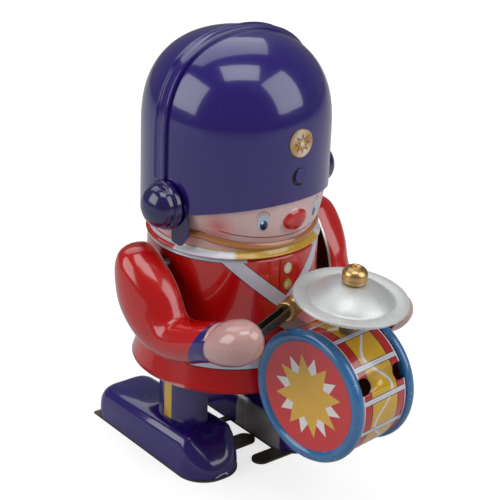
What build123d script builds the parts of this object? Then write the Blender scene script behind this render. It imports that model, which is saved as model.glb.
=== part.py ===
"""Tin wind-up drummer: a guardsman with a tall domed hat who walks and beats a drum.

Frame: +Z up, the table is z = 0, the figure's axis is x = y = 0 and the figure faces -Y.
The figure's right hand is on the -X side.  Sizes are in millimetres.
"""
import os
from math import atan2, cos, pi, radians, sin, sqrt

from build123d import *

os.makedirs("parts", exist_ok=True)

# ---------------------------------------------------------------- driving dimensions
SHEET = 0.4                 # tinplate of the pressed shells
PLATE = 0.6                 # steel of the motor, legs and soles
RUN = 0.06                  # radial running clearance of shafts in holes
SIDES = {"right": -1, "left": 1}

HAT_R = 23.9                # hat wall, outer radius
HAT_TOP = 114.1             # top of the dome, under the seam band
HAT_WALL_TOP = 90.0         # where the straight wall turns into the dome
HAT_POWER = 2.44            # squareness of the dome
LIP_Z = 71.2                # lip height on the figure's axis
LIP_TILT = 13.0             # the lip is higher at the front
LIP_BORE = 22.15            # opening inside the turned-in lip
BAND_W = 4.3
BAND_PROUD = 0.9

HEAD_TURN = 2.6             # degrees the hat and the face look towards the figure's left

EAR_Y = -2.6
EAR_Z = 74.5
EAR_FLANGE_R = 6.3
EAR_DOME_R = 5.6
EAR_X = 24.0
EAR_FLANGE_T = 2.0
EAR_DOME_H = 4.3
FLAP_R = 24.05
BAND_FOOT = EAR_Z + EAR_FLANGE_R - 0.3

FACE_R = 22.0
NECK_Z = 62.3               # top of the tunic
NOSE_X = 0.4
NOSE_Z = 71.3
BADGE_Z = 91.5
BADGE_R = 3.5

SKIRT_Z = 26.7
SKIRT_R = 25.8
WAIST_Z = 32.6
WAIST_R = 23.7
CHEST_R = 22.2

DRUM_X = 0.9                # the drum sits a little to the figure's left on its bracket
DRUM_Y = -41.4
DRUM_Z = 34.0
DRUM_R = 16.3               # shell
DRUM_RIM_R = 17.1
DRUM_TURN = 6.5             # degrees the drum is turned about the vertical through its middle
DRUM_HALF_W = 10.7
DRUM_RIM_W = 2.8
DRUM_RIM_IN = 2.9           # width of the rim's face
NOTCH_ANGLE = 26.5          # the vent notches beside the rims, above the horizontal
NOTCH_H = 4.2
NOTCH_REACH = 3.9
HEAD_RECESS = 0.9
CYMBAL_LEAN = 6.5           # forward lean of the cymbal's axis
CYMBAL_AHEAD = 1.7          # how far that axis passes in front of the drum's axis
CYMBAL_LIFT = 25.7          # from the height of the drum's axis to the cymbal's rim
CYMBAL_R = 14.1
CYMBAL_BELL_R = 10.0
CYMBAL_BELL_H = 4.3
POST_R = 1.0
KNOB_R = 3.1
KNOB_H = 4.0

MOTOR_X = 7.6               # inner faces of the two motor plates
CRANK_Y = 1.0
CRANK_Z = 38.0
THROW = 1.2                 # crank radius of the leg pins
LEG_X = 12.0                # inner face of the leg plates
GUIDE_Z = 50.0
MODULE = 0.4
GREAT_TEETH = 40
CRANK_PINION_TEETH = 10
CRANK_WHEEL_TEETH = 36
IDLER_PINION_TEETH = 9
IDLER_WHEEL_TEETH = 32
FLY_PINION_TEETH = 8
MESH_GAP = 0.06
RATCHET_TEETH = 12
RATCHET_R = 3.6

SHOULDER_Y = -2.0
SHOULDER_Z = 58.0
SHAFT_R = 1.0
ARM_RIM_X = 25.2            # open side of the arm shells at the figure's axis
ARM_RIM_SLOPE = 0.068       # the open side comes inward towards the hand
ARM_DROP = {"right": 0.0, "left": 10.5}     # degrees the arm hangs below the right one

SOLE_IN = 5.8
SOLE_OUT = 23.0
INSTEP_H = 14.2             # top of the shoe in front of the leg
HEEL_H = 9.6
TOE_R = 7.8                 # corner radius of the toe in plan
FOOT_FRONT = -18.8          # toe and heel with the crank pin at mid travel
FOOT_BACK = 29.3
BAR_FRONT = {"right": (-7.9, -2.4), "left": (-18.1, -13.2)}
BAR_REAR = {"right": (17.5, 19.5), "left": (5.6, 7.6)}
BAR_TIP = {"right": 5.3, "left": 2.8}       # how far the outrigger bars pass the figure's axis
BAR_ROOT = 6.0              # how far they reach into the sole

TAB_Z = 31.0                # height of the motor's mounting tabs
TAB_H = 3.0
TAB_REACH_FRONT = 23.45     # the front tabs end just short of the drum's rims
TAB_REACH_BACK = 24.6
KEY_HOLE_R = 1.7
wind_distance = MODULE * (GREAT_TEETH + CRANK_PINION_TEETH) / 2 + MESH_GAP
WIND_Y = CRANK_Y + wind_distance
WIND_Z = CRANK_Z
BRACKET_Z = (30.0, 44.0)
BRACKET_W = 6.0

PLATE_FRONT = -9.0
PLATE_BACK = 18.0
PLATE_BOTTOM = 27.5
PLATE_TOP = 56.0
CRANK_SHAFT_R = 1.2
WIND_SHAFT_R = 1.4
IDLER_SHAFT_R = 0.8
FLY_SHAFT_R = 0.6
PIN_R = 0.8
PILLAR_R = 1.0
PILLARS = ((-7.0, 30.0), (15.8, 29.4), (-7.0, 54.0), (15.5, 54.0), (14.6, 47.6))
DISC_X = MOTOR_X + PLATE + 0.6      # inner face of the crank discs
DISC_T = 0.8
DISC_R = 2.9

idler_distance = MODULE * (CRANK_WHEEL_TEETH + IDLER_PINION_TEETH) / 2 + MESH_GAP
IDLER_ANGLE = 110.0
IDLER_Y = CRANK_Y + idler_distance * cos(radians(IDLER_ANGLE))
IDLER_Z = CRANK_Z + idler_distance * sin(radians(IDLER_ANGLE))
fly_distance = MODULE * (IDLER_WHEEL_TEETH + FLY_PINION_TEETH) / 2 + MESH_GAP
FLY_ANGLE = 10.0
FLY_Y = IDLER_Y + fly_distance * cos(radians(FLY_ANGLE))
FLY_Z = IDLER_Z + fly_distance * sin(radians(FLY_ANGLE))

GREAT_X = 4.6
WHEEL_T = 0.8
PINION_T = 1.4
CRANK_WHEEL_X = -3.8
IDLER_WHEEL_X = -1.6
FLY_X = -6.8

SPRING_X = -0.8
SPRING_W = 4.8
SPRING_TURNS = 5
SPRING_IN = 2.3
SPRING_OUT = 7.2

RATCHET_X = GREAT_X + WHEEL_T + 0.2
RATCHET_T = 0.8

KEY_BARREL_X = 23.6
KEY_END_X = 33.0
CLICK_Y = WIND_Y
CLICK_Z = WIND_Z + 5.6

LEG_SHELL_FRONT = -9.0              # trouser shell with the crank pin at mid travel
LEG_SHELL_BACK = 8.8
LEG_SHELL_DEPTH = 6.0
LEG_SHELL_TOP = 32.0
LEG_PLATE_FRONT = -6.0
LEG_PLATE_BACK = 6.0

STICK_HEAD_X = 5.0                  # middle of a stick's brass head
STICK_HEAD_Y = -30.0
STICK_HEAD_Z = {"right": 51.9, "left": 53.6}
STICK_HAND = (23.4, -36.6, 50.7)    # where a stick starts, inside the hand, before the arm's drop
HEAD_R = 2.6
HEAD_L = 5.6
STICK_W = 2.6
STICK_PIN_R = 0.9
shoulder_axis = Axis((0, SHOULDER_Y, SHOULDER_Z), (1, 0, 0))

# sections of the arm along its length: x, y, z and the two half widths, right arm
ARM_UPPER = (
    (-28.0, 1.2, 63.4, 3.4, 3.0), (-27.7, 1.2, 61.8, 5.7, 5.0), (-27.6, 0.6, 59.8, 6.8, 6.7),
    (-27.5, -0.3, 57.0, 7.4, 8.3), (-27.5, -1.3, 54.0, 7.5, 9.8), (-27.5, -2.9, 50.8, 7.5, 10.8),
    (-27.4, -5.6, 47.2, 7.3, 11.0), (-27.2, -9.0, 43.5, 6.8, 9.8), (-27.0, -10.8, 40.0, 5.2, 7.2),
    (-26.8, -12.0, 37.4, 2.8, 4.0),
)
ARM_LOWER = (
    (-27.0, -6.0, 42.8, 5.0, 4.6), (-26.7, -13.0, 43.4, 6.4, 5.7), (-25.9, -21.0, 44.9, 6.2, 5.7),
    (-25.4, -28.0, 47.4, 5.7, 5.4), (-25.2, -31.0, 48.9, 6.3, 6.0), (-25.0, -35.0, 49.9, 6.5, 6.3),
    (-24.8, -38.8, 50.5, 5.4, 5.2), (-24.8, -41.4, 50.9, 2.5, 2.4),
)


def finish(piece, name, turn=0.0):
    """Turns a finished piece about Z by that many degrees, names it and writes it."""
    if turn:
        piece.part = piece.part.rotate(Axis.Z, turn)
    piece.part.label = name
    export_step(piece.part, f"parts/{name}.step")


def dome_half(radius, top, base):
    """Half outline of a dome: a straight wall, then a superellipse up to the axis."""
    rise = top - HAT_WALL_TOP
    steps = 16
    curve = []
    for i in range(steps + 1):
        t = i * pi / 2 / steps
        r = radius * max(cos(t), 0.0) ** (2 / HAT_POWER)
        z = HAT_WALL_TOP + rise * sin(t) ** (2 / HAT_POWER)
        curve.append((r, z))
    curve[-1] = (0, top)
    return curve, [(0, top), (0, base), (radius, base), (radius, HAT_WALL_TOP)]


def dome_solid(radius, top, base):
    """A solid dome with a straight wall below it, turned about Z."""
    curve, frame = dome_half(radius, top, base)
    with BuildPart() as dome:
        with BuildSketch(Plane.XZ):
            with BuildLine():
                Spline(*curve, tangents=((0, 1), (-1, 0)))
                Polyline(*frame)
            make_face()
        revolve(axis=Axis.Z)
    return dome.part


def lip_plane(raise_by):
    """The plane of the hat's lip, moved up its own normal."""
    tilt = radians(LIP_TILT)
    up = (0, sin(tilt), cos(tilt))
    origin = (0, up[1] * raise_by, LIP_Z + up[2] * raise_by)
    return Plane(origin=origin, x_dir=(1, 0, 0), z_dir=up)


def side_plane(x, y, z, sign):
    """A sketch plane that faces outward on one side: its x runs along +Y and its y along +Z."""
    if sign > 0:
        return Plane(origin=(x, y, z), x_dir=(0, 1, 0), z_dir=(1, 0, 0))
    return Plane(origin=(-x, y, z), x_dir=(0, -1, 0), z_dir=(-1, 0, 0))


def cross_plane(x, y, z):
    """A sketch plane across X: its x runs along +Y, its y along +Z and its normal is +X."""
    return Plane(origin=(x, y, z), x_dir=(0, 1, 0), z_dir=(1, 0, 0))


# ---------------------------------------------------------------- hat
with BuildPart() as hat_core:
    add(dome_solid(HAT_R - SHEET, HAT_TOP - SHEET, 60))
    split(bisect_by=lip_plane(SHEET), keep=Keep.TOP)
    with BuildSketch(Plane.XY.offset(60)):
        Circle(LIP_BORE)
    extrude(amount=30)

for name, keep in (("hat_front", Keep.TOP), ("hat_back", Keep.BOTTOM)):
    with BuildPart() as hat_half:
        add(dome_solid(HAT_R, HAT_TOP, 60))
        split(bisect_by=lip_plane(0), keep=Keep.TOP)
        add(hat_core.part, mode=Mode.SUBTRACT)
        split(bisect_by=Plane.XZ, keep=keep)
    finish(hat_half, name, HEAD_TURN)

with BuildPart() as hat_seam_band:
    with BuildSketch(Plane.XZ.offset(-BAND_W / 2)):
        for grow, mode in ((BAND_PROUD, Mode.ADD), (0.0, Mode.SUBTRACT)):
            curve, frame = dome_half(HAT_R + grow, HAT_TOP + grow, BAND_FOOT)
            with BuildLine():
                Spline(*curve, tangents=((0, 1), (-1, 0)))
                Polyline(*frame)
            make_face(mode=mode)
        mirror(about=Plane.YZ)
    extrude(amount=BAND_W)
finish(hat_seam_band, "hat_seam_band", HEAD_TURN)

with BuildPart() as hat_badge:
    with BuildSketch(Plane.XZ.offset(HAT_R - 0.35)):
        with Locations((0, BADGE_Z)):
            Circle(BADGE_R)
    extrude(amount=0.8)
    with BuildSketch(Plane.XZ.offset(HAT_R + 0.45)):
        with Locations((0, BADGE_Z)):
            RegularPolygon(radius=BADGE_R * 0.7, side_count=8)
    extrude(amount=0.3)
    with BuildSketch(Plane.XY.offset(BADGE_Z - 2 * BADGE_R)):
        Circle(HAT_R + 0.02)
    extrude(amount=4 * BADGE_R, mode=Mode.SUBTRACT)
finish(hat_badge, "hat_badge", HEAD_TURN)


# ---------------------------------------------------------------- ear caps and cheek flaps
for hand, sign in SIDES.items():
    with BuildPart() as ear_cap:
        with BuildSketch(side_plane(EAR_X, EAR_Y, EAR_Z, sign)):
            Circle(EAR_FLANGE_R)
        extrude(amount=EAR_FLANGE_T)
        with BuildSketch(side_plane(EAR_X + EAR_FLANGE_T, EAR_Y, EAR_Z, sign)):
            Circle(EAR_DOME_R)
        extrude(amount=EAR_DOME_H)
        outer = ear_cap.edges().group_by(Axis.X)[-1 if sign > 0 else 0]
        fillet(outer, radius=EAR_DOME_H - 0.3)
    finish(ear_cap, f"ear_cap_{hand}", HEAD_TURN)

    with BuildPart() as flap_ring:
        with BuildSketch(Plane.XY.offset(60)):
            Circle(FLAP_R + SHEET)
            Circle(FLAP_R, mode=Mode.SUBTRACT)
        extrude(amount=20)
    with BuildPart() as cheek_flap:
        with BuildSketch(cross_plane(sign * 15, 0, 0)):
            Polygon((-4.6, 71), (-4.6, 65.4), (-7.6, 64.6), (-9.4, 67.3), (-9.6, 71), (-8.2, 76.6),
                    align=None)
        extrude(amount=sign * 15)
        add(flap_ring.part, mode=Mode.INTERSECT)
        with BuildSketch(side_plane(EAR_X - 4, EAR_Y, EAR_Z, sign)):
            Circle(EAR_FLANGE_R + 0.02)
        extrude(amount=12, mode=Mode.SUBTRACT)
    finish(cheek_flap, f"cheek_flap_{hand}", HEAD_TURN)


# ---------------------------------------------------------------- face and neck
with BuildPart() as face_band:
    with BuildSketch(Plane.XZ):
        with BuildLine():
            ThreePointArc((20.6, 64.8), (21.6, 66.0), (21.0, 67.3))
            Polyline((21.0, 67.3), (21.6, 69.6), (FACE_R, 73.0), (FACE_R, 80.5), (FACE_R - 0.5, 80.5),
                     (FACE_R - 0.5, 73.0), (21.1, 69.6), (20.45, 67.3))
            Line((20.45, 67.3), (20.1, 64.8))
            Line((20.1, 64.8), (20.6, 64.8))
        make_face()
    revolve(axis=Axis.Z)
    with BuildSketch(Plane.XZ.offset(FACE_R - 0.72)):
        with Locations((NOSE_X, NOSE_Z)):
            Ellipse(3.8, 2.65)
    extrude(amount=2.0)
    nose_rim = face_band.edges().group_by(Axis.Y)[0]
    fillet(nose_rim, radius=0.9)
finish(face_band, "face_band", HEAD_TURN)

with BuildPart() as neck_collar:
    with BuildSketch(Plane.XZ):
        with BuildLine():
            Polyline((20.15, 64.7), (20.7, 64.7), (21.2, 63.8), (22.5, 62.6), (22.5, NECK_Z),
                     (21.2, NECK_Z), (20.15, 63.6), (20.15, 64.7))
        make_face()
    revolve(axis=Axis.Z)
finish(neck_collar, "neck_collar")


# ---------------------------------------------------------------- tunic
def tunic_solid(shrink):
    """The tunic as a solid of revolution, with its wall moved inward by shrink."""
    outline = [(0, NECK_Z - shrink), (21.3 - shrink, NECK_Z - shrink), (22.0 - shrink, 61.2),
               (CHEST_R - shrink, 50), (22.6 - shrink, 42), (23.4 - shrink, 34.5),
               (WAIST_R - shrink, WAIST_Z), (SKIRT_R - shrink, SKIRT_Z), (0, SKIRT_Z), (0, NECK_Z - shrink)]
    with BuildPart() as tunic:
        with BuildSketch(Plane.XZ):
            with BuildLine():
                Polyline(*outline)
            make_face()
        revolve(axis=Axis.Z)
    return tunic.part


for name, keep in (("torso_front", Keep.TOP), ("torso_back", Keep.BOTTOM)):
    with BuildPart() as torso_half:
        add(tunic_solid(0))
        add(tunic_solid(SHEET), mode=Mode.SUBTRACT)
        with BuildSketch(Plane.XY.offset(NECK_Z - 1)):
            Circle(17)
        extrude(amount=2, mode=Mode.SUBTRACT)
        split(bisect_by=Plane.XZ, keep=keep)
        with BuildSketch(cross_plane(-30, SHOULDER_Y, SHOULDER_Z)):
            Circle(SHAFT_R + RUN)
        extrude(amount=60, mode=Mode.SUBTRACT)
        with BuildSketch(cross_plane(10, WIND_Y, WIND_Z)):
            Circle(KEY_HOLE_R)
        extrude(amount=20, mode=Mode.SUBTRACT)
        with BuildSketch(Plane.XZ.offset(-30)):
            for sign in (-1, 1):
                with Locations((sign * (MOTOR_X + PLATE / 2), TAB_Z)):
                    Rectangle(PLATE + 0.2, TAB_H + 0.2)
        extrude(amount=60, mode=Mode.SUBTRACT)
        with BuildSketch(Plane.XZ.offset(18)):
            for z in BRACKET_Z:
                with Locations((0, z)):
                    Rectangle(BRACKET_W + 0.2, PLATE + 0.2)
        extrude(amount=12, mode=Mode.SUBTRACT)
    finish(torso_half, name)


# ---------------------------------------------------------------- drum
def drum_axis_plane(x):
    """A sketch plane across the drum's axis: its x runs to the front and its y up."""
    return Plane(origin=(x, DRUM_Y, DRUM_Z), x_dir=(0, 1, 0), z_dir=(1, 0, 0))


SHELL_HALF = DRUM_HALF_W - DRUM_RIM_W
cymbal_plane = Plane(origin=(0, DRUM_Y - CYMBAL_AHEAD, DRUM_Z), x_dir=(1, 0, 0),
                     z_dir=(0, -sin(radians(CYMBAL_LEAN)), cos(radians(CYMBAL_LEAN))))

drum_upright = Axis((0, DRUM_Y, DRUM_Z), (0, 0, 1))

with BuildPart() as drum_tube:
    with BuildSketch(drum_axis_plane(DRUM_X - SHELL_HALF)):
        Circle(DRUM_R)
        Circle(DRUM_R - SHEET, mode=Mode.SUBTRACT)
    extrude(amount=2 * SHELL_HALF)
    with BuildSketch(Plane.XZ.offset(-DRUM_Y)):
        for sign in (-1, 1):
            with Locations((DRUM_X + sign * SHELL_HALF, DRUM_Z + DRUM_R * sin(radians(NOTCH_ANGLE)))):
                SlotOverall(2 * NOTCH_REACH, NOTCH_H)
    extrude(amount=20, mode=Mode.SUBTRACT)

with BuildPart() as drum_shell:
    add(drum_tube.part.rotate(drum_upright, DRUM_TURN))
    with BuildSketch(cymbal_plane):
        Circle(POST_R)
    extrude(amount=20, mode=Mode.SUBTRACT)
    for z in BRACKET_Z:
        with BuildSketch(Plane.XZ.offset(20)):
            with Locations((0, z)):
                Rectangle(BRACKET_W + 0.2, PLATE + 0.2)
        extrude(amount=18, mode=Mode.SUBTRACT)
finish(drum_shell, "drum_shell")

for hand, sign in SIDES.items():
    with BuildPart() as drumhead:
        with BuildSketch(Plane.XY.offset(DRUM_Z)):
            with BuildLine():
                inner_x = DRUM_X + sign * SHELL_HALF
                outer_x = DRUM_X + sign * DRUM_HALF_W
                skin_x = DRUM_X + sign * (DRUM_HALF_W - HEAD_RECESS)
                back_x = DRUM_X + sign * (DRUM_HALF_W - HEAD_RECESS - SHEET)
                mid_x = DRUM_X + sign * (DRUM_HALF_W - DRUM_RIM_W / 2)
                edge_in = DRUM_Y + DRUM_RIM_R - DRUM_RIM_IN
                edge_out = DRUM_Y + DRUM_RIM_R - 0.7
                Polyline((back_x, DRUM_Y), (skin_x, DRUM_Y), (skin_x, edge_in), (outer_x, edge_in + 0.7),
                         (outer_x, edge_out))
                ThreePointArc((outer_x, edge_out), (mid_x, DRUM_Y + DRUM_RIM_R), (inner_x, edge_out))
                Polyline((inner_x, edge_out), (inner_x, edge_in), (back_x, edge_in), (back_x, DRUM_Y))
            make_face()
        revolve(axis=Axis((0, DRUM_Y, DRUM_Z), (1, 0, 0)))
    drumhead.part = drumhead.part.rotate(drum_upright, DRUM_TURN)
    finish(drumhead, f"drumhead_{hand}")

with BuildPart() as drum_bracket:
    for z in BRACKET_Z:
        reach = DRUM_Y + sqrt((DRUM_R - 1.2) ** 2 - (z - DRUM_Z) ** 2)
        with BuildSketch(Plane.XY.offset(z - PLATE / 2)):
            with Locations((0, (reach - 19.5) / 2)):
                Rectangle(BRACKET_W, -19.5 - reach)
        extrude(amount=PLATE)
    with BuildSketch(Plane.XZ.offset(19.5)):
        with Locations((0, sum(BRACKET_Z) / 2)):
            Rectangle(BRACKET_W, BRACKET_Z[1] - BRACKET_Z[0] + PLATE)
    extrude(amount=-PLATE)
finish(drum_bracket, "drum_bracket")

with BuildPart() as cymbal:
    with BuildSketch(Plane(origin=cymbal_plane.origin, x_dir=(1, 0, 0), z_dir=-cymbal_plane.y_dir)):
        with BuildLine():
            rim = CYMBAL_LIFT
            crown = CYMBAL_LIFT + CYMBAL_BELL_H
            Polyline((CYMBAL_R, rim), (CYMBAL_R, rim + SHEET), (CYMBAL_BELL_R, rim + SHEET + 0.1))
            ThreePointArc((CYMBAL_BELL_R, rim + SHEET + 0.1), (6.0, rim + 3.4), (POST_R, crown))
            Polyline((POST_R, crown), (POST_R, crown - SHEET))
            ThreePointArc((POST_R, crown - SHEET), (6.0, rim + 3.0), (CYMBAL_BELL_R, rim + 0.1))
            Polyline((CYMBAL_BELL_R, rim + 0.1), (CYMBAL_R, rim))
        make_face()
    revolve(axis=Axis(cymbal_plane.origin, cymbal_plane.z_dir))
finish(cymbal, "cymbal")

with BuildPart() as cymbal_post:
    with BuildSketch(cymbal_plane.offset(DRUM_R - 1.5)):
        Circle(POST_R)
    extrude(amount=CYMBAL_LIFT + CYMBAL_BELL_H + 2.5 - DRUM_R + 1.5)
    with BuildSketch(cymbal_plane.offset(DRUM_R + 0.05)):
        Circle(1.8)
        Circle(POST_R, mode=Mode.SUBTRACT)
    extrude(amount=CYMBAL_LIFT + CYMBAL_BELL_H - SHEET - 0.05 - DRUM_R - 0.05)
finish(cymbal_post, "cymbal_post")

with BuildPart() as cymbal_knob:
    knob_foot = CYMBAL_LIFT + CYMBAL_BELL_H + 0.05
    with BuildSketch(cymbal_plane.offset(knob_foot)):
        Circle(KNOB_R)
    extrude(amount=KNOB_H)
    chamfer(cymbal_knob.edges().sort_by(Axis.Z)[-1], length=1.0)
    with BuildSketch(cymbal_plane.offset(knob_foot)):
        Circle(POST_R)
    extrude(amount=2.5, mode=Mode.SUBTRACT)
    with BuildSketch(cymbal_plane.offset(knob_foot + KNOB_H)):
        Circle(1.0)
    extrude(amount=-0.6, mode=Mode.SUBTRACT)
finish(cymbal_knob, "cymbal_knob")


# ---------------------------------------------------------------- clockwork
def gear(teeth, x, thickness, y, z, bore, start):
    """A spur gear across X.  One tooth is centred at the angle start, from +Y towards +Z."""
    pitch_r = MODULE * teeth / 2
    root_r = pitch_r - 1.25 * MODULE
    tip_r = pitch_r + 0.75 * MODULE
    half = pi / teeth
    profile = []
    for i in range(teeth):
        centre = radians(start) + 2 * i * half
        for r, share in ((root_r, -0.62), (pitch_r, -0.38), (tip_r, -0.16),
                         (tip_r, 0.16), (pitch_r, 0.38), (root_r, 0.62)):
            turn = centre + share * half
            profile.append((r * cos(turn), r * sin(turn)))
    with BuildPart() as wheel:
        with BuildSketch(cross_plane(x, y, z)):
            with BuildLine():
                Polyline(*profile, close=True)
            make_face()
            Circle(bore, mode=Mode.SUBTRACT)
        extrude(amount=thickness)
    return wheel


def rod(x0, x1, radius, y, z):
    """A round rod across X, from x0 to x1."""
    with BuildPart() as bar:
        with BuildSketch(cross_plane(x0, y, z)):
            Circle(radius)
        extrude(amount=x1 - x0)
    return bar.part


with BuildPart() as frame_pillars:
    for y, z in PILLARS:
        add(rod(-MOTOR_X, MOTOR_X, PILLAR_R, y, z))
finish(frame_pillars, "frame_pillars")

for hand, sign in SIDES.items():
    with BuildPart() as motor_plate:
        with BuildSketch(cross_plane(sign * MOTOR_X, 0, 0)):
            with Locations(((PLATE_FRONT + PLATE_BACK) / 2, (PLATE_BOTTOM + PLATE_TOP) / 2)):
                RectangleRounded(PLATE_BACK - PLATE_FRONT, PLATE_TOP - PLATE_BOTTOM, 2)
            with Locations(((TAB_REACH_BACK - TAB_REACH_FRONT) / 2, TAB_Z)):
                Rectangle(TAB_REACH_FRONT + TAB_REACH_BACK, TAB_H)
            for y, z, radius in ((CRANK_Y, CRANK_Z, CRANK_SHAFT_R), (WIND_Y, WIND_Z, WIND_SHAFT_R),
                                 (IDLER_Y, IDLER_Z, IDLER_SHAFT_R), (FLY_Y, FLY_Z, FLY_SHAFT_R)):
                with Locations((y, z)):
                    Circle(radius + RUN, mode=Mode.SUBTRACT)
        extrude(amount=sign * PLATE)
    finish(motor_plate, f"motor_plate_{hand}")

    with BuildPart() as guide_pin:
        near = sign * (MOTOR_X + PLATE)
        add(rod(near, sign * (LEG_X + 1.6), PIN_R, CRANK_Y, GUIDE_Z))
        add(rod(near, sign * (LEG_X - 0.3), PIN_R + 0.9, CRANK_Y, GUIDE_Z))
    finish(guide_pin, f"guide_pin_{hand}")

    with BuildPart() as crank_disc:
        add(rod(sign * DISC_X, sign * (DISC_X + DISC_T), DISC_R, CRANK_Y, CRANK_Z))
        add(rod(sign * DISC_X, sign * (LEG_X + PLATE + 0.3), PIN_R, CRANK_Y - sign * THROW, CRANK_Z))
        add(rod(sign * (LEG_X + PLATE + 0.3), sign * (LEG_X + PLATE + 0.8), PIN_R + 0.6,
                CRANK_Y - sign * THROW, CRANK_Z))
        with BuildSketch(cross_plane(sign * (DISC_X - 0.2), CRANK_Y, CRANK_Z)):
            Circle(0.9)
        extrude(amount=sign * (DISC_T + 0.2), mode=Mode.SUBTRACT)
    finish(crank_disc, f"crank_disc_{hand}")

with BuildPart() as crankshaft:
    add(rod(-DISC_X, DISC_X, CRANK_SHAFT_R, CRANK_Y, CRANK_Z))
    add(rod(-DISC_X - DISC_T, DISC_X + DISC_T, 0.9, CRANK_Y, CRANK_Z))
finish(crankshaft, "crankshaft")

great_turn = 180.0                              # a tooth of the great wheel faces the crank
finish(gear(GREAT_TEETH, GREAT_X, WHEEL_T, WIND_Y, WIND_Z, WIND_SHAFT_R + RUN, great_turn), "great_wheel")
finish(gear(CRANK_PINION_TEETH, GREAT_X - 0.3, PINION_T, CRANK_Y, CRANK_Z, CRANK_SHAFT_R,
            180 / CRANK_PINION_TEETH), "crank_pinion")
finish(gear(CRANK_WHEEL_TEETH, CRANK_WHEEL_X, WHEEL_T, CRANK_Y, CRANK_Z, CRANK_SHAFT_R,
            IDLER_ANGLE), "crank_wheel")
idler_gap = IDLER_ANGLE + 180 + 180 / IDLER_PINION_TEETH
finish(gear(IDLER_PINION_TEETH, CRANK_WHEEL_X - 0.3, PINION_T, IDLER_Y, IDLER_Z, IDLER_SHAFT_R,
            idler_gap), "idler_pinion")
finish(gear(IDLER_WHEEL_TEETH, IDLER_WHEEL_X, WHEEL_T, IDLER_Y, IDLER_Z, IDLER_SHAFT_R,
            FLY_ANGLE), "idler_wheel")
fly_gap = FLY_ANGLE + 180 + 180 / FLY_PINION_TEETH
finish(gear(FLY_PINION_TEETH, IDLER_WHEEL_X - 0.3, PINION_T, FLY_Y, FLY_Z, FLY_SHAFT_R,
            fly_gap), "fly_pinion")

with BuildPart() as idler_arbor:
    add(rod(-MOTOR_X - PLATE, MOTOR_X + PLATE, IDLER_SHAFT_R, IDLER_Y, IDLER_Z))
finish(idler_arbor, "idler_arbor")

with BuildPart() as fly_arbor:
    add(rod(-MOTOR_X - PLATE, MOTOR_X + PLATE, FLY_SHAFT_R, FLY_Y, FLY_Z))
finish(fly_arbor, "fly_arbor")

with BuildPart() as flywheel:
    with BuildSketch(cross_plane(FLY_X, FLY_Y, FLY_Z)):
        Circle(4.3)
        Circle(FLY_SHAFT_R, mode=Mode.SUBTRACT)
        with PolarLocations(2.6, 4):
            Circle(0.8, mode=Mode.SUBTRACT)
    extrude(amount=1.4)
finish(flywheel, "flywheel")

with BuildPart() as beat_cam:
    with BuildSketch(cross_plane(-6.0, CRANK_Y, CRANK_Z)):
        Ellipse(3.2, 2.0)
        Circle(CRANK_SHAFT_R, mode=Mode.SUBTRACT)
    extrude(amount=1.0)
finish(beat_cam, "beat_cam")

post_y, post_z = PILLARS[4]
with BuildPart() as mainspring:
    with BuildSketch(cross_plane(SPRING_X, WIND_Y, WIND_Z)):
        hook = atan2(post_z - WIND_Z, post_y - WIND_Y)
        sweep_angle = 2 * pi * SPRING_TURNS
        steps = 12 * SPRING_TURNS
        outer_edge = []
        inner_edge = []
        for i in range(steps + 1):
            turn = hook - sweep_angle * (1 - i / steps)
            r = SPRING_IN + (SPRING_OUT - SPRING_IN) * i / steps
            outer_edge.append(((r + 0.12) * cos(turn), (r + 0.12) * sin(turn)))
            inner_edge.append(((r - 0.12) * cos(turn), (r - 0.12) * sin(turn)))
        tail_r = sqrt((post_y - WIND_Y) ** 2 + (post_z - WIND_Z) ** 2) - PILLAR_R
        outer_edge.append((tail_r * cos(hook), tail_r * sin(hook)))
        inner_edge.append((tail_r * cos(hook + 0.06), tail_r * sin(hook + 0.06)))
        with BuildLine():
            Polyline(*outer_edge, *reversed(inner_edge), close=True)
        make_face()
    extrude(amount=SPRING_W)
finish(mainspring, "mainspring")

with BuildPart() as ratchet_wheel:
    with BuildSketch(cross_plane(RATCHET_X, WIND_Y, WIND_Z)):
        saw = []
        for i in range(RATCHET_TEETH):
            a0 = 2 * pi * i / RATCHET_TEETH
            a1 = 2 * pi * (i + 0.96) / RATCHET_TEETH
            saw.append(((RATCHET_R - 0.8) * cos(a0), (RATCHET_R - 0.8) * sin(a0)))
            saw.append((RATCHET_R * cos(a1), RATCHET_R * sin(a1)))
        with BuildLine():
            Polyline(*saw, close=True)
        make_face()
        Circle(WIND_SHAFT_R, mode=Mode.SUBTRACT)
    extrude(amount=RATCHET_T)
finish(ratchet_wheel, "ratchet_wheel")

with BuildPart() as winding_arbor:
    add(rod(-MOTOR_X - PLATE, KEY_BARREL_X + 5, WIND_SHAFT_R, WIND_Y, WIND_Z))
finish(winding_arbor, "winding_arbor")

with BuildPart() as winding_key:
    add(rod(KEY_BARREL_X, KEY_BARREL_X + 5, 2.2, WIND_Y, WIND_Z))
    with BuildSketch(Plane.XZ.offset(-WIND_Y - 0.5)):
        with Locations((KEY_END_X - 3.4, WIND_Z)):
            Rectangle(2.4, 5)
        with Locations((KEY_END_X - 3.0, WIND_Z + 3.5), (KEY_END_X - 3.0, WIND_Z - 3.5)):
            Circle(3.0)
            Circle(1.5, mode=Mode.SUBTRACT)
    extrude(amount=1.0)
    with BuildSketch(cross_plane(KEY_BARREL_X, WIND_Y, WIND_Z)):
        Circle(WIND_SHAFT_R)
    extrude(amount=5, mode=Mode.SUBTRACT)
finish(winding_key, "winding_key")

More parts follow.
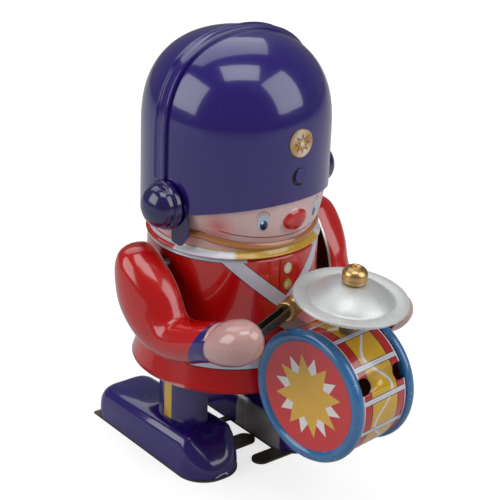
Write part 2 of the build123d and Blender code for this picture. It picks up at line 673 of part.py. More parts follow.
with BuildPart() as click:
    with BuildSketch(cross_plane(RATCHET_X, CLICK_Y, CLICK_Z)):
        Polygon((0.9, 0.7), (0.9, -0.5), (-1.9, -1.65), (-2.2, -1.2), (-0.5, 0.9), align=None)
        Circle(0.9)
    extrude(amount=RATCHET_T)
    add(rod(GREAT_X + WHEEL_T, RATCHET_X, 0.6, CLICK_Y, CLICK_Z))
finish(click, "click")

with BuildPart() as click_spring:
    with BuildSketch(cross_plane(GREAT_X + WHEEL_T, WIND_Y, WIND_Z)):
        with BuildLine():
            Polyline((-5.4, 3.2), (-2.6, 5.1), (-2.4, 4.8), (-5.2, 2.9), (-5.4, 3.2))
        make_face()
    extrude(amount=0.8)
finish(click_spring, "click_spring")


# ---------------------------------------------------------------- legs, shoes and soles
for hand, sign in SIDES.items():
    shift = -sign * THROW
    sole_x = sign * (SOLE_IN + SOLE_OUT) / 2
    leg_y = (LEG_SHELL_FRONT + LEG_SHELL_BACK) / 2 + shift
    skin_plane = Plane.YZ.offset(sign * (LEG_X + PLATE))
    outside = Keep.TOP if sign > 0 else Keep.BOTTOM

    def leg_level(z):
        return Plane(origin=(sign * (LEG_X + PLATE), leg_y, z))

    with BuildPart() as sole:
        with BuildSketch(Plane.XY):
            with Locations((sole_x, (FOOT_FRONT + TOE_R + FOOT_BACK) / 2 + shift)):
                Rectangle(SOLE_OUT - SOLE_IN, FOOT_BACK - FOOT_FRONT - TOE_R)
            with Locations((sole_x, FOOT_FRONT + TOE_R + 1 + shift)):
                RectangleRounded(SOLE_OUT - SOLE_IN, 2 * TOE_R + 2, TOE_R)
            for y0, y1 in (BAR_FRONT[hand], BAR_REAR[hand]):
                with Locations((sign * (SOLE_IN + BAR_ROOT - BAR_TIP[hand]) / 2, (y0 + y1) / 2)):
                    SlotOverall(SOLE_IN + BAR_ROOT + BAR_TIP[hand], y1 - y0)
        extrude(amount=PLATE)
        with BuildSketch(Plane.XY.offset(PLATE)):
            for y in (FOOT_FRONT + 8, FOOT_BACK - 8):
                for x in (SOLE_IN + 0.6, SOLE_OUT - 0.6):
                    with Locations((sign * x, y + shift)):
                        Rectangle(SHEET, 3)
        extrude(amount=2)
    finish(sole, f"sole_{hand}")

    def shoe_solid(shrink):
        """The shoe as a solid, with its walls moved inward by shrink."""
        toe = FOOT_FRONT + shift + shrink
        heel = FOOT_BACK + shift - shrink
        instep = INSTEP_H - shrink
        back = HEEL_H - shrink
        width = SOLE_OUT - SOLE_IN - 2 * shrink
        with BuildPart() as shoe:
            with BuildSketch(cross_plane(sole_x, 0, 0)):
                with BuildLine():
                    Polyline((toe, PLATE), (heel, PLATE), (heel, back - 2.6))
                    ThreePointArc((heel, back - 2.6), (heel - 0.8, back - 0.8), (heel - 2.8, back))
                    Line((heel - 2.8, back), (toe + 12.5, instep))
                    ThreePointArc((toe + 12.5, instep), (toe + 5.0, instep - 4.6), (toe, 4.2))
                    Line((toe, 4.2), (toe, PLATE))
                make_face()
            extrude(amount=width / 2, both=True)
            upright = shoe.edges().filter_by(Axis.Z).group_by(Axis.Y)
            fillet(upright[0], radius=TOE_R - shrink)
        return shoe.part

    with BuildPart() as shoe:
        add(shoe_solid(0))
        add(shoe_solid(SHEET), mode=Mode.SUBTRACT)
        with BuildSketch(Plane.XY.offset(PLATE)):
            with Locations((sole_x, (FOOT_FRONT + FOOT_BACK) / 2 + shift + 1)):
                Rectangle(SOLE_OUT - SOLE_IN - 2.2, FOOT_BACK - FOOT_FRONT - 12)
        extrude(amount=2, mode=Mode.SUBTRACT)
        with BuildSketch(leg_level(6)):
            Ellipse(LEG_SHELL_DEPTH, (LEG_SHELL_BACK - LEG_SHELL_FRONT) / 2)
        extrude(amount=20, mode=Mode.SUBTRACT)
    finish(shoe, f"shoe_{hand}")

    with BuildPart() as leg_shell:
        with BuildSketch(leg_level(8)):
            Ellipse(LEG_SHELL_DEPTH, (LEG_SHELL_BACK - LEG_SHELL_FRONT) / 2)
            Ellipse(LEG_SHELL_DEPTH - SHEET, (LEG_SHELL_BACK - LEG_SHELL_FRONT) / 2 - SHEET,
                    mode=Mode.SUBTRACT)
        extrude(amount=LEG_SHELL_TOP - 8)
        split(bisect_by=skin_plane, keep=outside)
    finish(leg_shell, f"leg_shell_{hand}")

    with BuildPart() as leg_plate:
        with BuildSketch(cross_plane(sign * LEG_X, shift, 0)):
            with Locations(((LEG_PLATE_FRONT + LEG_PLATE_BACK) / 2, (PLATE + 34) / 2)):
                Rectangle(LEG_PLATE_BACK - LEG_PLATE_FRONT, 34 - PLATE)
            with Locations((CRANK_Y, 43)):
                Rectangle(8, 21)
            with Locations((CRANK_Y, CRANK_Z)):
                Circle(PIN_R + RUN, mode=Mode.SUBTRACT)
            with Locations((CRANK_Y, GUIDE_Z)):
                Circle(PIN_R + THROW + 0.4, mode=Mode.SUBTRACT)
        extrude(amount=sign * PLATE)
    finish(leg_plate, f"leg_plate_{hand}")


# ---------------------------------------------------------------- arms and drumsticks
def arm_solid(sign, shrink):
    """An arm and hand as one solid, with its walls moved inward by shrink."""
    with BuildPart() as arm:
        for x, y, z, rx, ry in ARM_UPPER:
            with BuildSketch(Plane(origin=(-sign * x, y, z - shrink * (z > 50) + shrink * (z < 50)))):
                Ellipse(rx - shrink, ry - shrink)
        loft()
        forward = (0, -1, 0.14)
        for x, y, z, rx, rz in ARM_LOWER:
            with BuildSketch(Plane(origin=(-sign * x, y + shrink * (y < -30), z),
                                   x_dir=(1, 0, 0), z_dir=forward)):
                Ellipse(rx - shrink, rz - shrink)
        loft()
    return arm.part


for hand, sign in SIDES.items():
    with BuildPart() as arm_shell:
        add(arm_solid(sign, 0))
        add(arm_solid(sign, SHEET + 0.1), mode=Mode.SUBTRACT)
        opening = Plane(origin=(sign * ARM_RIM_X, 0, 0), x_dir=(0, 0, 1),
                        z_dir=(sign, -ARM_RIM_SLOPE, 0))
        split(bisect_by=opening, keep=Keep.TOP)
    arm_shell.part = arm_shell.part.rotate(shoulder_axis, ARM_DROP[hand])
    finish(arm_shell, f"arm_shell_{hand}")

    tip = Vector(sign * STICK_HEAD_X, STICK_HEAD_Y, STICK_HEAD_Z[hand])
    hand_end = Vector(sign * STICK_HAND[0], STICK_HAND[1], STICK_HAND[2]) - shoulder_axis.position
    grip = hand_end.rotate(Axis.X, ARM_DROP[hand]) + shoulder_axis.position
    along = (tip - grip).normalized()
    neck = tip - along * (HEAD_L / 2)
    with BuildPart() as drumstick:
        with BuildSketch(Plane(origin=grip, z_dir=along)):
            Rectangle(STICK_W, STICK_W)
        extrude(amount=(neck - grip).length)
        with BuildSketch(Plane(origin=neck, z_dir=along)):
            Circle(STICK_PIN_R)
        extrude(amount=HEAD_L - 0.6)
    finish(drumstick, f"drumstick_{hand}")

    with BuildPart() as stick_head:
        with BuildSketch(Plane(origin=neck, z_dir=along)):
            Circle(HEAD_R)
        extrude(amount=HEAD_L)
        fillet(stick_head.edges(), radius=0.5)
        with BuildSketch(Plane(origin=neck, z_dir=along)):
            Circle(STICK_PIN_R)
        extrude(amount=HEAD_L - 0.6, mode=Mode.SUBTRACT)
    finish(stick_head, f"stick_head_{hand}")

with BuildPart() as arm_shaft:
    add(rod(-33.5, 33.5, SHAFT_R, SHOULDER_Y, SHOULDER_Z))
finish(arm_shaft, "arm_shaft")

with BuildPart() as arm_lever:
    with BuildSketch(cross_plane(-6.0, SHOULDER_Y, SHOULDER_Z)):
        with BuildLine():
            Polyline((-1.8, 1.6), (1.8, 1.6), (1.6, -2.0), (-2.6, -10.0), (-0.6, -15.0), (-2.4, -15.8),
                     (-5.0, -10.0), (-1.8, -1.0), (-1.8, 1.6))
        make_face()
        Circle(SHAFT_R, mode=Mode.SUBTRACT)
    extrude(amount=1.0)
finish(arm_lever, "arm_lever")
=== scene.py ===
"""Looks of the tin wind-up drummer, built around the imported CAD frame.

Shapes are written in millimetres and turned into metres as they are made.
"""
from math import atan2, cos, pi, radians, sin, sqrt, tan

import bmesh
import bpy
from mathutils import Matrix, Vector


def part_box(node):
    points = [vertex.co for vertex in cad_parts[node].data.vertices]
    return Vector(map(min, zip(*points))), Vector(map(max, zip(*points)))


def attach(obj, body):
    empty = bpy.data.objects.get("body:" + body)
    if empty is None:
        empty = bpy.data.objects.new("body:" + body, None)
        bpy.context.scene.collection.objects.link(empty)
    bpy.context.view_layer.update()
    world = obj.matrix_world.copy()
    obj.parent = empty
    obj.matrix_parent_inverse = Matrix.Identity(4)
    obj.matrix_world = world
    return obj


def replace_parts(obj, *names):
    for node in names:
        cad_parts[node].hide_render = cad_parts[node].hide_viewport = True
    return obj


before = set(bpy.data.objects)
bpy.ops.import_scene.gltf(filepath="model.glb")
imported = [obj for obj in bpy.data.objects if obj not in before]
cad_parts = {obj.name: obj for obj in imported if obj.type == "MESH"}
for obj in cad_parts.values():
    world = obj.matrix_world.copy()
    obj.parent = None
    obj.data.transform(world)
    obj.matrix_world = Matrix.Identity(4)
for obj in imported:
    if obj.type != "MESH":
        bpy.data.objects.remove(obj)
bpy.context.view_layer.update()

MM = 0.001
SIDES = {"right": -1, "left": 1}


# --- sizes read from the frame
def mm_box(node):
    """A CAD node's lowest and highest corners, in millimetres."""
    low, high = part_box(node)
    return low / MM, high / MM


hat_high = mm_box("hat_front")[1]
torso_low, torso_high = mm_box("torso_front")
badge_low, badge_high = mm_box("hat_badge")
rim_low, rim_high = mm_box("drumhead_left")
shell_low, shell_high = mm_box("drum_shell")
cap_low, cap_high = mm_box("ear_cap_left")
shaft_low, shaft_high = mm_box("arm_shaft")
knob_high = mm_box("cymbal_knob")[1]

HAT_R = 23.9
HAT_TOP = hat_high.z
HAT_WALL_TOP = 90.0
HAT_FOOT = 66.0             # before the foot is sheared to the tilted lip
HAT_POWER = 2.44
LIP_Z = 71.2
LIP_TILT = radians(13)
SHEET = 0.4                 # thickness of the tinplate
FACE_R = 22.0
NECK_Z = torso_high.z
SKIRT_Z = torso_low.z
SKIRT_R = torso_high.x
WAIST_Z = 32.6
CHEST_R = 22.2
EAR_X = 24.0
EAR_Y = -2.6
EAR_H = 6.3
EAR_Z = (cap_low.z + cap_high.z) / 2
EAR_R = (cap_high.z - cap_low.z) / 2
DRUM_X = 0.9
DRUM_Y = -41.4
DRUM_Z = (rim_low.z + rim_high.z) / 2
DRUM_RIM_R = (rim_high.z - rim_low.z) / 2
DRUM_R = (shell_high.z - shell_low.z) / 2
DRUM_HALF_W = 10.7
SHELL_HALF = 7.9
DRUM_TURN = radians(6.5)    # the drum is turned about the vertical through its middle
CYMBAL_LEAN = radians(6.5)
CYMBAL_AHEAD = 1.7
CYMBAL_LIFT = 25.7
CYMBAL_R = 14.1
BELL_H = 4.3
KNOB_R = knob_high.x
KNOB_H = 4.0
BAND_HALF = 2.15
CHEEK_R = 23.0              # the face at its widest, under the hat
CHIN_Z = 65.65              # top edge of the chin strap in front
CHIN_RISE = 0.005
CHIN_RISE_MAX = 2.8
NOSE_X = 0.4
NOSE_HALF_W = 3.8
NOSE_HALF_H = 2.65
NOSE_Z = 71.4
EYE_X = 8.6                 # along the curve of the face, from its middle
EYE_Z = 71.9
HEAD_TURN = radians(2.6)    # the hat and the face look a little towards the figure's left
FACE_TURN = Matrix.Rotation(HEAD_TURN, 3, "Z")
SHOULDER = Vector((0, (shaft_low.y + shaft_high.y) / 2, (shaft_low.z + shaft_high.z) / 2))
ARM_DROP = {"right": 0.0, "left": radians(10.5)}
STICK_HEAD_Z = {"right": 51.9, "left": 53.6}
ARM_RIM_X = 25.2            # open side of the arms at the figure's axis
ARM_RIM_SLOPE = 0.068
NOTCH_ANGLE = radians(26.5)
NOTCH_H = 4.2
NOTCH_REACH = 3.9


# --- paint: node materials from expressions
class Value:
    """A node socket or a number that takes part in shader arithmetic."""

    def __init__(self, paint, socket):
        self.paint = paint
        self.socket = socket

    def __add__(self, other): return self.paint.math("ADD", self, other)
    def __sub__(self, other): return self.paint.math("SUBTRACT", self, other)
    def __rsub__(self, other): return self.paint.math("SUBTRACT", other, self)
    def __mul__(self, other): return self.paint.math("MULTIPLY", self, other)
    def __truediv__(self, other): return self.paint.math("DIVIDE", self, other)
    def __neg__(self): return self.paint.math("MULTIPLY", self, -1.0)
    __radd__ = __add__
    __rmul__ = __mul__

    def abs(self): return self.paint.math("ABSOLUTE", self)
    def sin(self): return self.paint.math("SINE", self)
    def cos(self): return self.paint.math("COSINE", self)
    def sqrt(self): return self.paint.math("SQRT", self)
    def clamp(self): return self.paint.math("ADD", self, 0.0, clamp=True)
    def max(self, other): return self.paint.math("MAXIMUM", self, other)
    def min(self, other): return self.paint.math("MINIMUM", self, other)
    def wrap(self, low, high): return self.paint.math("WRAP", self, high, low)

    def below(self, edge, soft=0.08):
        """1 where this value is under the edge, 0 above it, with a soft border."""
        return ((edge - self) / soft + 0.5).clamp()

    def above(self, edge, soft=0.08):
        return 1.0 - self.below(edge, soft)

    def between(self, low, high, soft=0.08):
        return self.above(low, soft) * self.below(high, soft)


class Paint:
    """One node material, painted in object space with millimetre coordinates x, y and z."""

    def __init__(self, name, color=(0.5, 0.5, 0.5), metallic=0.0, roughness=0.4, **shader):
        self.material = bpy.data.materials.new(name)
        self.material.use_nodes = True
        self.tree = self.material.node_tree
        self.shader = self.tree.nodes["Principled BSDF"]
        self.shader.inputs["Base Color"].default_value = (*color, 1)
        self.shader.inputs["Metallic"].default_value = metallic
        self.shader.inputs["Roughness"].default_value = roughness
        for socket, value in shader.items():
            self.shader.inputs[socket.replace("_", " ")].default_value = value
        self.point = self.tree.nodes.new("ShaderNodeTexCoord").outputs["Object"]
        split = self.tree.nodes.new("ShaderNodeSeparateXYZ")
        self.tree.links.new(self.point, split.inputs[0])
        self.x, self.y, self.z = (Value(self, split.outputs[i]) / MM for i in range(3))

    def feed(self, socket, value):
        if isinstance(value, Value):
            self.tree.links.new(value.socket, socket)
        elif isinstance(value, tuple):
            socket.default_value = (*value, 1) if len(value) == 3 else value
        else:
            socket.default_value = value

    def math(self, operation, a, b=None, c=None, clamp=False):
        node = self.tree.nodes.new("ShaderNodeMath")
        node.operation = operation
        node.use_clamp = clamp
        for socket, value in zip(node.inputs, (a, b, c)):
            if value is not None:
                self.feed(socket, value)
        return Value(self, node.outputs[0])

    def mix(self, share, a, b):
        """The colour a, with b laid over it where share is 1."""
        node = self.tree.nodes.new("ShaderNodeMix")
        node.data_type = "RGBA"
        self.feed(node.inputs["Factor"], share)
        self.feed(node.inputs[6], a)
        self.feed(node.inputs[7], b)
        return Value(self, node.outputs[2])

    def lay(self, look, *coats):
        """The colour look, with each (share, colour) coat laid over what is there."""
        for share, coat in coats:
            look = self.mix(share, look, coat)
        return look

    def noise(self, scale, detail=3.0, stretch=(1, 1, 1)):
        """Noise from 0 to 1 whose features are about 1/scale mm across."""
        mapping = self.tree.nodes.new("ShaderNodeMapping")
        mapping.inputs["Scale"].default_value = stretch
        self.tree.links.new(self.point, mapping.inputs["Vector"])
        node = self.tree.nodes.new("ShaderNodeTexNoise")
        node.inputs["Scale"].default_value = scale / MM
        node.inputs["Detail"].default_value = detail
        self.tree.links.new(mapping.outputs[0], node.inputs["Vector"])
        return Value(self, node.outputs[0])

    def angle(self, a, b):
        """The angle, in radians, whose sine side is a and cosine side is b."""
        return self.math("ARCTAN2", a, b)

    def ellipse(self, u, v, cu, cv, ru, rv, soft=0.08):
        """1 inside an ellipse in the u, v plane."""
        du = (u - cu) / ru
        dv = (v - cv) / rv
        return (du * du + dv * dv).sqrt().below(1.0, soft / min(ru, rv))

    def color(self, value):
        self.feed(self.shader.inputs["Base Color"], value)

    def finish(self, color, rough, height, depth=0.012):
        """Feeds the colour, the roughness and a relief of that depth in mm; gives the material."""
        self.color(color)
        self.feed(self.shader.inputs["Roughness"], rough)
        node = self.tree.nodes.new("ShaderNodeBump")
        node.inputs["Distance"].default_value = depth * MM
        self.feed(node.inputs["Height"], height)
        for socket in ("Normal", "Coat Normal"):
            self.tree.links.new(node.outputs[0], self.shader.inputs[socket])
        return self.material


def linear(r, g, b):
    """Screen colour, 0 to 255, as linear light."""
    return tuple(((c / 255 + 0.055) / 1.055) ** 2.4 if c > 10 else c / 255 / 12.92 for c in (r, g, b))


PURPLE = linear(42, 24, 118)
PURPLE_DEEP = linear(30, 17, 88)
RED = linear(212, 10, 12)
RED_DEEP = linear(186, 6, 9)
WHITE = linear(226, 224, 236)
BLACK = linear(16, 14, 16)
BLUE = linear(40, 105, 165)


def lacquer(paint, base, wear=0.4):
    """Printed and varnished tinplate: faint tone changes, dust, fine scuffs and orange peel."""
    tone = paint.noise(0.05, 2.0)
    dust = paint.noise(0.9, 4.0).above(0.74, 0.05)
    scuff = paint.noise(0.25, 5.0, stretch=(1, 1, 0.15)).above(0.68, 0.04)
    dark = tuple(c * 0.55 for c in (PURPLE if isinstance(base, Value) else base))
    look = paint.lay(base, (tone * 0.22, dark), (dust * 0.10 * wear, linear(210, 205, 205)))
    return paint.finish(look, 0.16 + tone * 0.08 + scuff * 0.16 * wear,
                        paint.noise(0.35, 2.0) + paint.noise(2.5, 2.0) * 0.12)


def tin_print(name):
    return Paint(name, roughness=0.2, Coat_Weight=0.9, Coat_Roughness=0.045, IOR=1.5)


def enamel(name, color, wear=0.4):
    return lacquer(tin_print(name), color, wear)


def bare_metal(name, color, roughness, brush=(1, 1, 1), tarnish=None, depth=0.01, metallic=1.0):
    """Bare sheet or turned metal with a brushed grain and darker patches."""
    paint = Paint(name, metallic=metallic, roughness=roughness)
    grain = paint.noise(1.6, 6.0, stretch=brush)
    patch = paint.noise(0.12, 4.0)
    speck = paint.noise(0.8, 5.0).above(0.66, 0.06)
    dark = tarnish or tuple(c * 0.45 for c in color)
    look = paint.lay(color, ((patch * 0.75 + grain * 0.35 - 0.25).clamp(), dark), (speck * 0.35, dark))
    return paint.finish(look, roughness + grain * 0.18 + patch * 0.12 - 0.1, grain, depth)


def star_edge(r, turn, outer, inner):
    """How far the point at radius r and angle turn lies outside a straight-edged eight-point star."""
    half = pi / 8
    a = turn.wrap(-half, half).abs()
    ix, iy = inner * cos(half), inner * sin(half)
    length = sqrt((outer - ix) ** 2 + iy ** 2)
    return (r * a.cos() - outer) * (iy / length) + r * a.sin() * ((outer - ix) / length)


# --- mesh helpers
def turned(bm):
    """The bmesh, turned with the head."""
    bmesh.ops.rotate(bm, verts=bm.verts, cent=(0, 0, 0), matrix=FACE_TURN)
    return bm


def drum_turned(bm):
    """The bmesh, moved and turned with the drum."""
    bmesh.ops.translate(bm, verts=bm.verts, vec=(DRUM_X, 0, 0))
    bmesh.ops.rotate(bm, verts=bm.verts, cent=(0, DRUM_Y, 0), matrix=Matrix.Rotation(DRUM_TURN, 3, "Z"))
    return bm


def to_object(name, bm, material, body, smooth_angle=35.0):
    """Makes an object from a bmesh in millimetres, paints it and fixes it to a body."""
    bmesh.ops.remove_doubles(bm, verts=bm.verts, dist=1e-5)
    bmesh.ops.recalc_face_normals(bm, faces=bm.faces)
    bmesh.ops.scale(bm, vec=(MM, MM, MM), verts=bm.verts)
    mesh = bpy.data.meshes.new(name)
    bm.to_mesh(mesh)
    bm.free()
    for polygon in mesh.polygons:
        polygon.use_smooth = True
    mesh.set_sharp_from_angle(angle=radians(smooth_angle))
    obj = bpy.data.objects.new(name, mesh)
    bpy.context.scene.collection.objects.link(obj)
    for one in material if isinstance(material, list) else [material]:
        mesh.materials.append(one)
    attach(obj, body)
    return obj


def bevel(obj, width, segments=2, angle=40.0):
    """Rounds the piece's sharp edges a little, so that they catch the light."""
    modifier = obj.modifiers.new("edge", "BEVEL")
    modifier.width = width * MM
    modifier.segments = segments
    modifier.limit_method = "ANGLE"
    modifier.angle_limit = radians(angle)
    return obj


def axes(origin, up, side=(1, 0, 0)):
    """A placement whose local z runs along up, and whose local x lies near side."""
    w = Vector(up).normalized()
    u = (Vector(side) - w * w.dot(Vector(side))).normalized()
    v = w.cross(u)
    return Matrix(((u.x, v.x, w.x, origin[0]), (u.y, v.y, w.y, origin[1]),
                   (u.z, v.z, w.z, origin[2]), (0, 0, 0, 1)))


def lathe(profile, steps=96, start=0.0, sweep=2 * pi, place=None, warp=None):
    """A bmesh turned from a closed outline of (radius, height) points about local z."""
    bm = bmesh.new()
    whole = sweep > 2 * pi - 1e-6
    rings = []
    for i in range(steps if whole else steps + 1):
        turn = start + sweep * i / steps
        ring = []
        for r, h in profile:
            point = Vector((r * cos(turn), r * sin(turn), h))
            if warp:
                point = warp(point)
            ring.append(bm.verts.new(place @ point if place else point))
        rings.append(ring)
    count = len(profile)
    for i in range(len(rings) if whole else len(rings) - 1):
        a, b = rings[i], rings[(i + 1) % len(rings)]
        for j in range(count):
            k = (j + 1) % count
            unique = []
            for v in (a[j], a[k], b[k], b[j]):
                if all((v.co - u.co).length > 1e-7 for u in unique):
                    unique.append(v)
            if len(unique) > 2:
                bm.faces.new(unique)
    if not whole:
        bm.faces.new(rings[0])
        bm.faces.new(list(reversed(rings[-1])))
    return bm


def round_outline(points, radius, steps=3):
    """The closed outline with each corner rounded by up to that radius."""
    out = []
    for i, p in enumerate(points):
        corner = Vector(p)
        before = Vector(points[i - 1]) - corner
        after = Vector(points[(i + 1) % len(points)]) - corner
        cut = min(radius, before.length * 0.45, after.length * 0.45)
        if cut < 1e-4:
            out.append(p)
            continue
        a = corner + before.normalized() * cut
        b = corner + after.normalized() * cut
        for k in range(steps + 1):
            t = k / steps
            out.append(tuple(a * (1 - t) ** 2 + corner * 2 * t * (1 - t) + b * t ** 2))
    return out


def stacked(layers, cap_low=True):
    """A bmesh skin over closed outlines that follow each other, with its ends capped."""
    bm = bmesh.new()
    rings = [[bm.verts.new(p) for p in layer] for layer in layers]
    for a, b in zip(rings, rings[1:]):
        for j in range(len(a)):
            k = (j + 1) % len(a)
            bm.faces.new((a[j], a[k], b[k], b[j]))
    if cap_low:
        bm.faces.new(list(reversed(rings[0])))
    bm.faces.new(rings[-1])
    return bm


def prism(outline, depth, place=None):
    """A bmesh plate: an outline in local x, y, thickened along local z."""
    bm = stacked([[(x, y, z) for x, y in outline] for z in (0, depth)])
    if place:
        bmesh.ops.transform(bm, matrix=place, verts=bm.verts)
    return bm


def join(*parts):
    """Several bmeshes as one."""
    whole = bmesh.new()
    for part in parts:
        mesh = bpy.data.meshes.new("join")
        part.to_mesh(mesh)
        part.free()
        whole.from_mesh(mesh)
        bpy.data.meshes.remove(mesh)
    return whole


# --- hat
def dome_outline(radius, top, base, steps=28):
    """Half outline of the hat's dome from its foot up to the axis."""
    points = [(radius, base + (HAT_WALL_TOP - base) * i / 8) for i in range(8)]
    for i in range(steps + 1):
        t = i * pi / 2 / steps
        points.append((radius * max(cos(t), 0.0) ** (2 / HAT_POWER),
                       HAT_WALL_TOP + (top - HAT_WALL_TOP) * sin(t) ** (2 / HAT_POWER)))
    points[-1] = (0.0, top)
    return points


def lip_warp(point):
    """Slopes the foot of the hat: heights under the wall's top are sheared towards the tilted lip."""
    if point.z >= HAT_WALL_TOP:
        return point
    share = (HAT_WALL_TOP - point.z) / (HAT_WALL_TOP - HAT_FOOT)
    lip = LIP_Z - point.y * tan(LIP_TILT)
    return Vector((point.x, point.y, HAT_WALL_TOP - share * (HAT_WALL_TOP - lip)))


def hat_half(name, node, start, material):
    outer = dome_outline(HAT_R, HAT_TOP, HAT_FOOT)
    inner = list(reversed(dome_outline(HAT_R - SHEET, HAT_TOP - SHEET, HAT_FOOT + SHEET)))
    hem = [(HAT_R - inward, HAT_FOOT + rise) for inward, rise in
           ((1.7, 0.35), (1.7, 0), (1.2, -0.2), (0.55, -0.25), (0.25, -0.2), (0.06, -0.1))]
    bm = lathe(outer + inner + hem, 72, start, pi, warp=lip_warp)
    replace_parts(to_object(name, turned(bm), material, "figure"), node)


def build_hat():
    purple = enamel("purple_enamel_hat", PURPLE)
    dark = enamel("purple_enamel_trim", PURPLE_DEEP, wear=0.8)
    hat_half("hat_front_shell", "hat_front", pi, purple)
    hat_half("hat_back_shell", "hat_back", 0.0, purple)
    seam_band(purple)
    badge()
    lance_tab()
    for hand, sign in SIDES.items():
        ear_cap(hand, sign, dark)
        cheek_flap(hand, sign, dark)


def seam_band(purple):
    """The strap over the seam: a raised strip with a ridge along each edge."""
    half, proud = BAND_HALF, 0.9
    section = round_outline([(-half, -0.25), (-half, proud), (-half + 0.9, proud), (-half + 1.15, proud - 0.3),
                             (half - 1.15, proud - 0.3), (half - 0.9, proud), (half, proud), (half, -0.25)], 0.3)
    arch = dome_outline(HAT_R, HAT_TOP, EAR_Z + EAR_R - 0.3, 40)
    path = arch + [(-r, z) for r, z in reversed(arch[:-1])]
    layers = []
    for i, (x, z) in enumerate(path):
        along = (Vector(path[min(i + 1, len(path) - 1)]) - Vector(path[max(i - 1, 0)])).normalized()
        layers.append([(x + along.y * h, y, z - along.x * h) for y, h in section])
    bm = stacked(layers)
    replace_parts(to_object("seam_band", turned(bm), purple, "figure"), "hat_seam_band")


def badge():
    """A round gold badge with an eight-point star; its white field is painted as a two-lobed fan of sheen over the
    gold.
    """
    cz = (badge_low.z + badge_high.z) / 2
    radius = (badge_high.z - badge_low.z) / 2
    paint = tin_print("badge_print")
    u, v = (paint.x - HAT_R * sin(HEAD_TURN)) / radius, (paint.z - cz) / radius
    r = (u * u + v * v).sqrt()
    turn = paint.angle(u, v)
    edge = star_edge(r, turn, 0.66, 0.3)
    painted_sheen_fan = (turn * 2.0 + 0.7).cos() * 0.5 + 0.5
    # The pale two-lobed fan laid over the gold is a painted sheen.
    look = paint.lay(linear(198, 136, 44), (painted_sheen_fan * 0.85, linear(238, 226, 212)),
                     (edge.below(0.0, 0.03) * 0.55, linear(226, 172, 84)),
                     (edge.abs().below(0.035, 0.03), linear(92, 58, 30)),
                     (r.below(0.13, 0.04), linear(245, 232, 200)),
                     (r.above(0.9, 0.05), linear(206, 170, 120)))
    paint.finish(look, 0.25 + paint.noise(0.8) * 0.1, edge.below(0.0, 0.06) * 0.6 + paint.noise(1.2) * 0.1, 0.05)
    dish = [(0, 0.55), (radius * 0.8, 0.5), (radius * 0.93, 0.62), (radius, 0.45), (radius, -0.2), (0, -0.2)]
    place = axes((0, -HAT_R, cz), (0, -1, 0))
    bm = lathe(dish, 48, place=place)
    for vert in bm.verts:
        vert.co.y += HAT_R - sqrt(max(HAT_R ** 2 - vert.co.x ** 2, 0))
    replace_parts(to_object("badge_disc", turned(bm), paint.material, "figure"), "hat_badge")


def lance_tab():
    """The half-moon tab pressed out of the hat under the badge, and a near-black plate beside it that paints the
    shade in the slot.
    """
    # Painted shade: the slot is a near-black plate laid on the hat, standing for the shadow in the opening.
    dark = Paint("slot_painted_shade", color=linear(10, 8, 16), roughness=0.7)
    dark.color(dark.mix(dark.noise(0.6), linear(6, 5, 10), linear(22, 18, 34)))
    purple = enamel("purple_enamel_tab", PURPLE)
    cz, r = 82.9, 2.3
    for name, material, radius, shift, lift in (("tab_slot_shade_plate", dark.material, r, 0.0, 0.03),
                                                ("tab_moon", purple, r * 0.84, 0.42, 0.55)):
        outline = [(radius * sin(a), radius * cos(a)) for a in
                   (2 * pi * i / 32 for i in range(32))]
        bm = prism(outline, lift, axes((shift, -HAT_R, cz + shift * 0.5), (0, -1, 0)))
        for vert in bm.verts:
            bulge = 1 - ((vert.co.x - shift) ** 2 + (vert.co.z - cz) ** 2) / (radius * 1.6) ** 2
            vert.co.y = -sqrt(HAT_R ** 2 - vert.co.x ** 2) - (0.02 if vert.co.y > -HAT_R - lift / 2
                                                             else lift * max(bulge, 0.4))
        bevel(to_object(name, turned(bm), material, "figure"), 0.12)


def ear_cap(hand, sign, purple):
    """A stepped flange with a high domed cap, like a rosette over the strap's end."""
    r = EAR_R
    crown = EAR_H
    foot = 1.9
    profile = [(5.45 * cos(a), foot + 0.35 + (crown - foot - 0.35) * sin(a)) for a in
               (pi / 2 * (14 - i) / 14 for i in range(15))]
    profile += [(5.5, foot + 0.1), (5.62, foot), (5.95, foot - 0.02), (6.05, foot - 0.3), (6.12, foot - 0.55),
                (r - 0.03, foot - 0.7), (r, foot - 0.95), (r, 0.2), (r - 0.15, 0.0), (5.6, 0.0), (5.3, 0.9)]
    profile += [(4.9 * cos(a), foot + (crown - foot - 0.5) * sin(a)) for a in (pi / 2 * i / 8 for i in range(1, 8))]
    profile.append((0.0, crown - 0.5))
    place = axes((sign * EAR_X, EAR_Y, EAR_Z), (sign, 0, 0), (0, 0, 1))
    bm = lathe(profile, 64, place=place)
    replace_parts(to_object(f"ear_rosette_{hand}", turned(bm), purple, "figure"), f"ear_cap_{hand}")


def cheek_flap(hand, sign, purple):
    """The curved flap that hangs below the ear cap, with its edges rounded a little."""
    outline = round_outline([(-4.7, 70.0), (-4.7, 65.5), (-7.6, 64.7), (-9.3, 67.3), (-9.5, 71.0), (-8.1, 76.2),
                             (-7.0, 71.0)], 0.7)
    bm = prism(outline, 0.45)
    bmesh.ops.subdivide_edges(bm, edges=bm.edges, cuts=2, use_grid_fill=True)
    bmesh.ops.triangulate(bm, faces=[f for f in bm.faces if len(f.verts) > 4])
    for vert in bm.verts:
        y, z, out = vert.co
        r = 24.08 + out * 0.9
        vert.co = Vector((sign * sqrt(max(r ** 2 - y ** 2, 0)), y, z))
    obj = bevel(to_object(f"cheek_plate_{hand}", turned(bm), purple, "figure"), 0.12)
    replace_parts(obj, f"cheek_flap_{hand}")


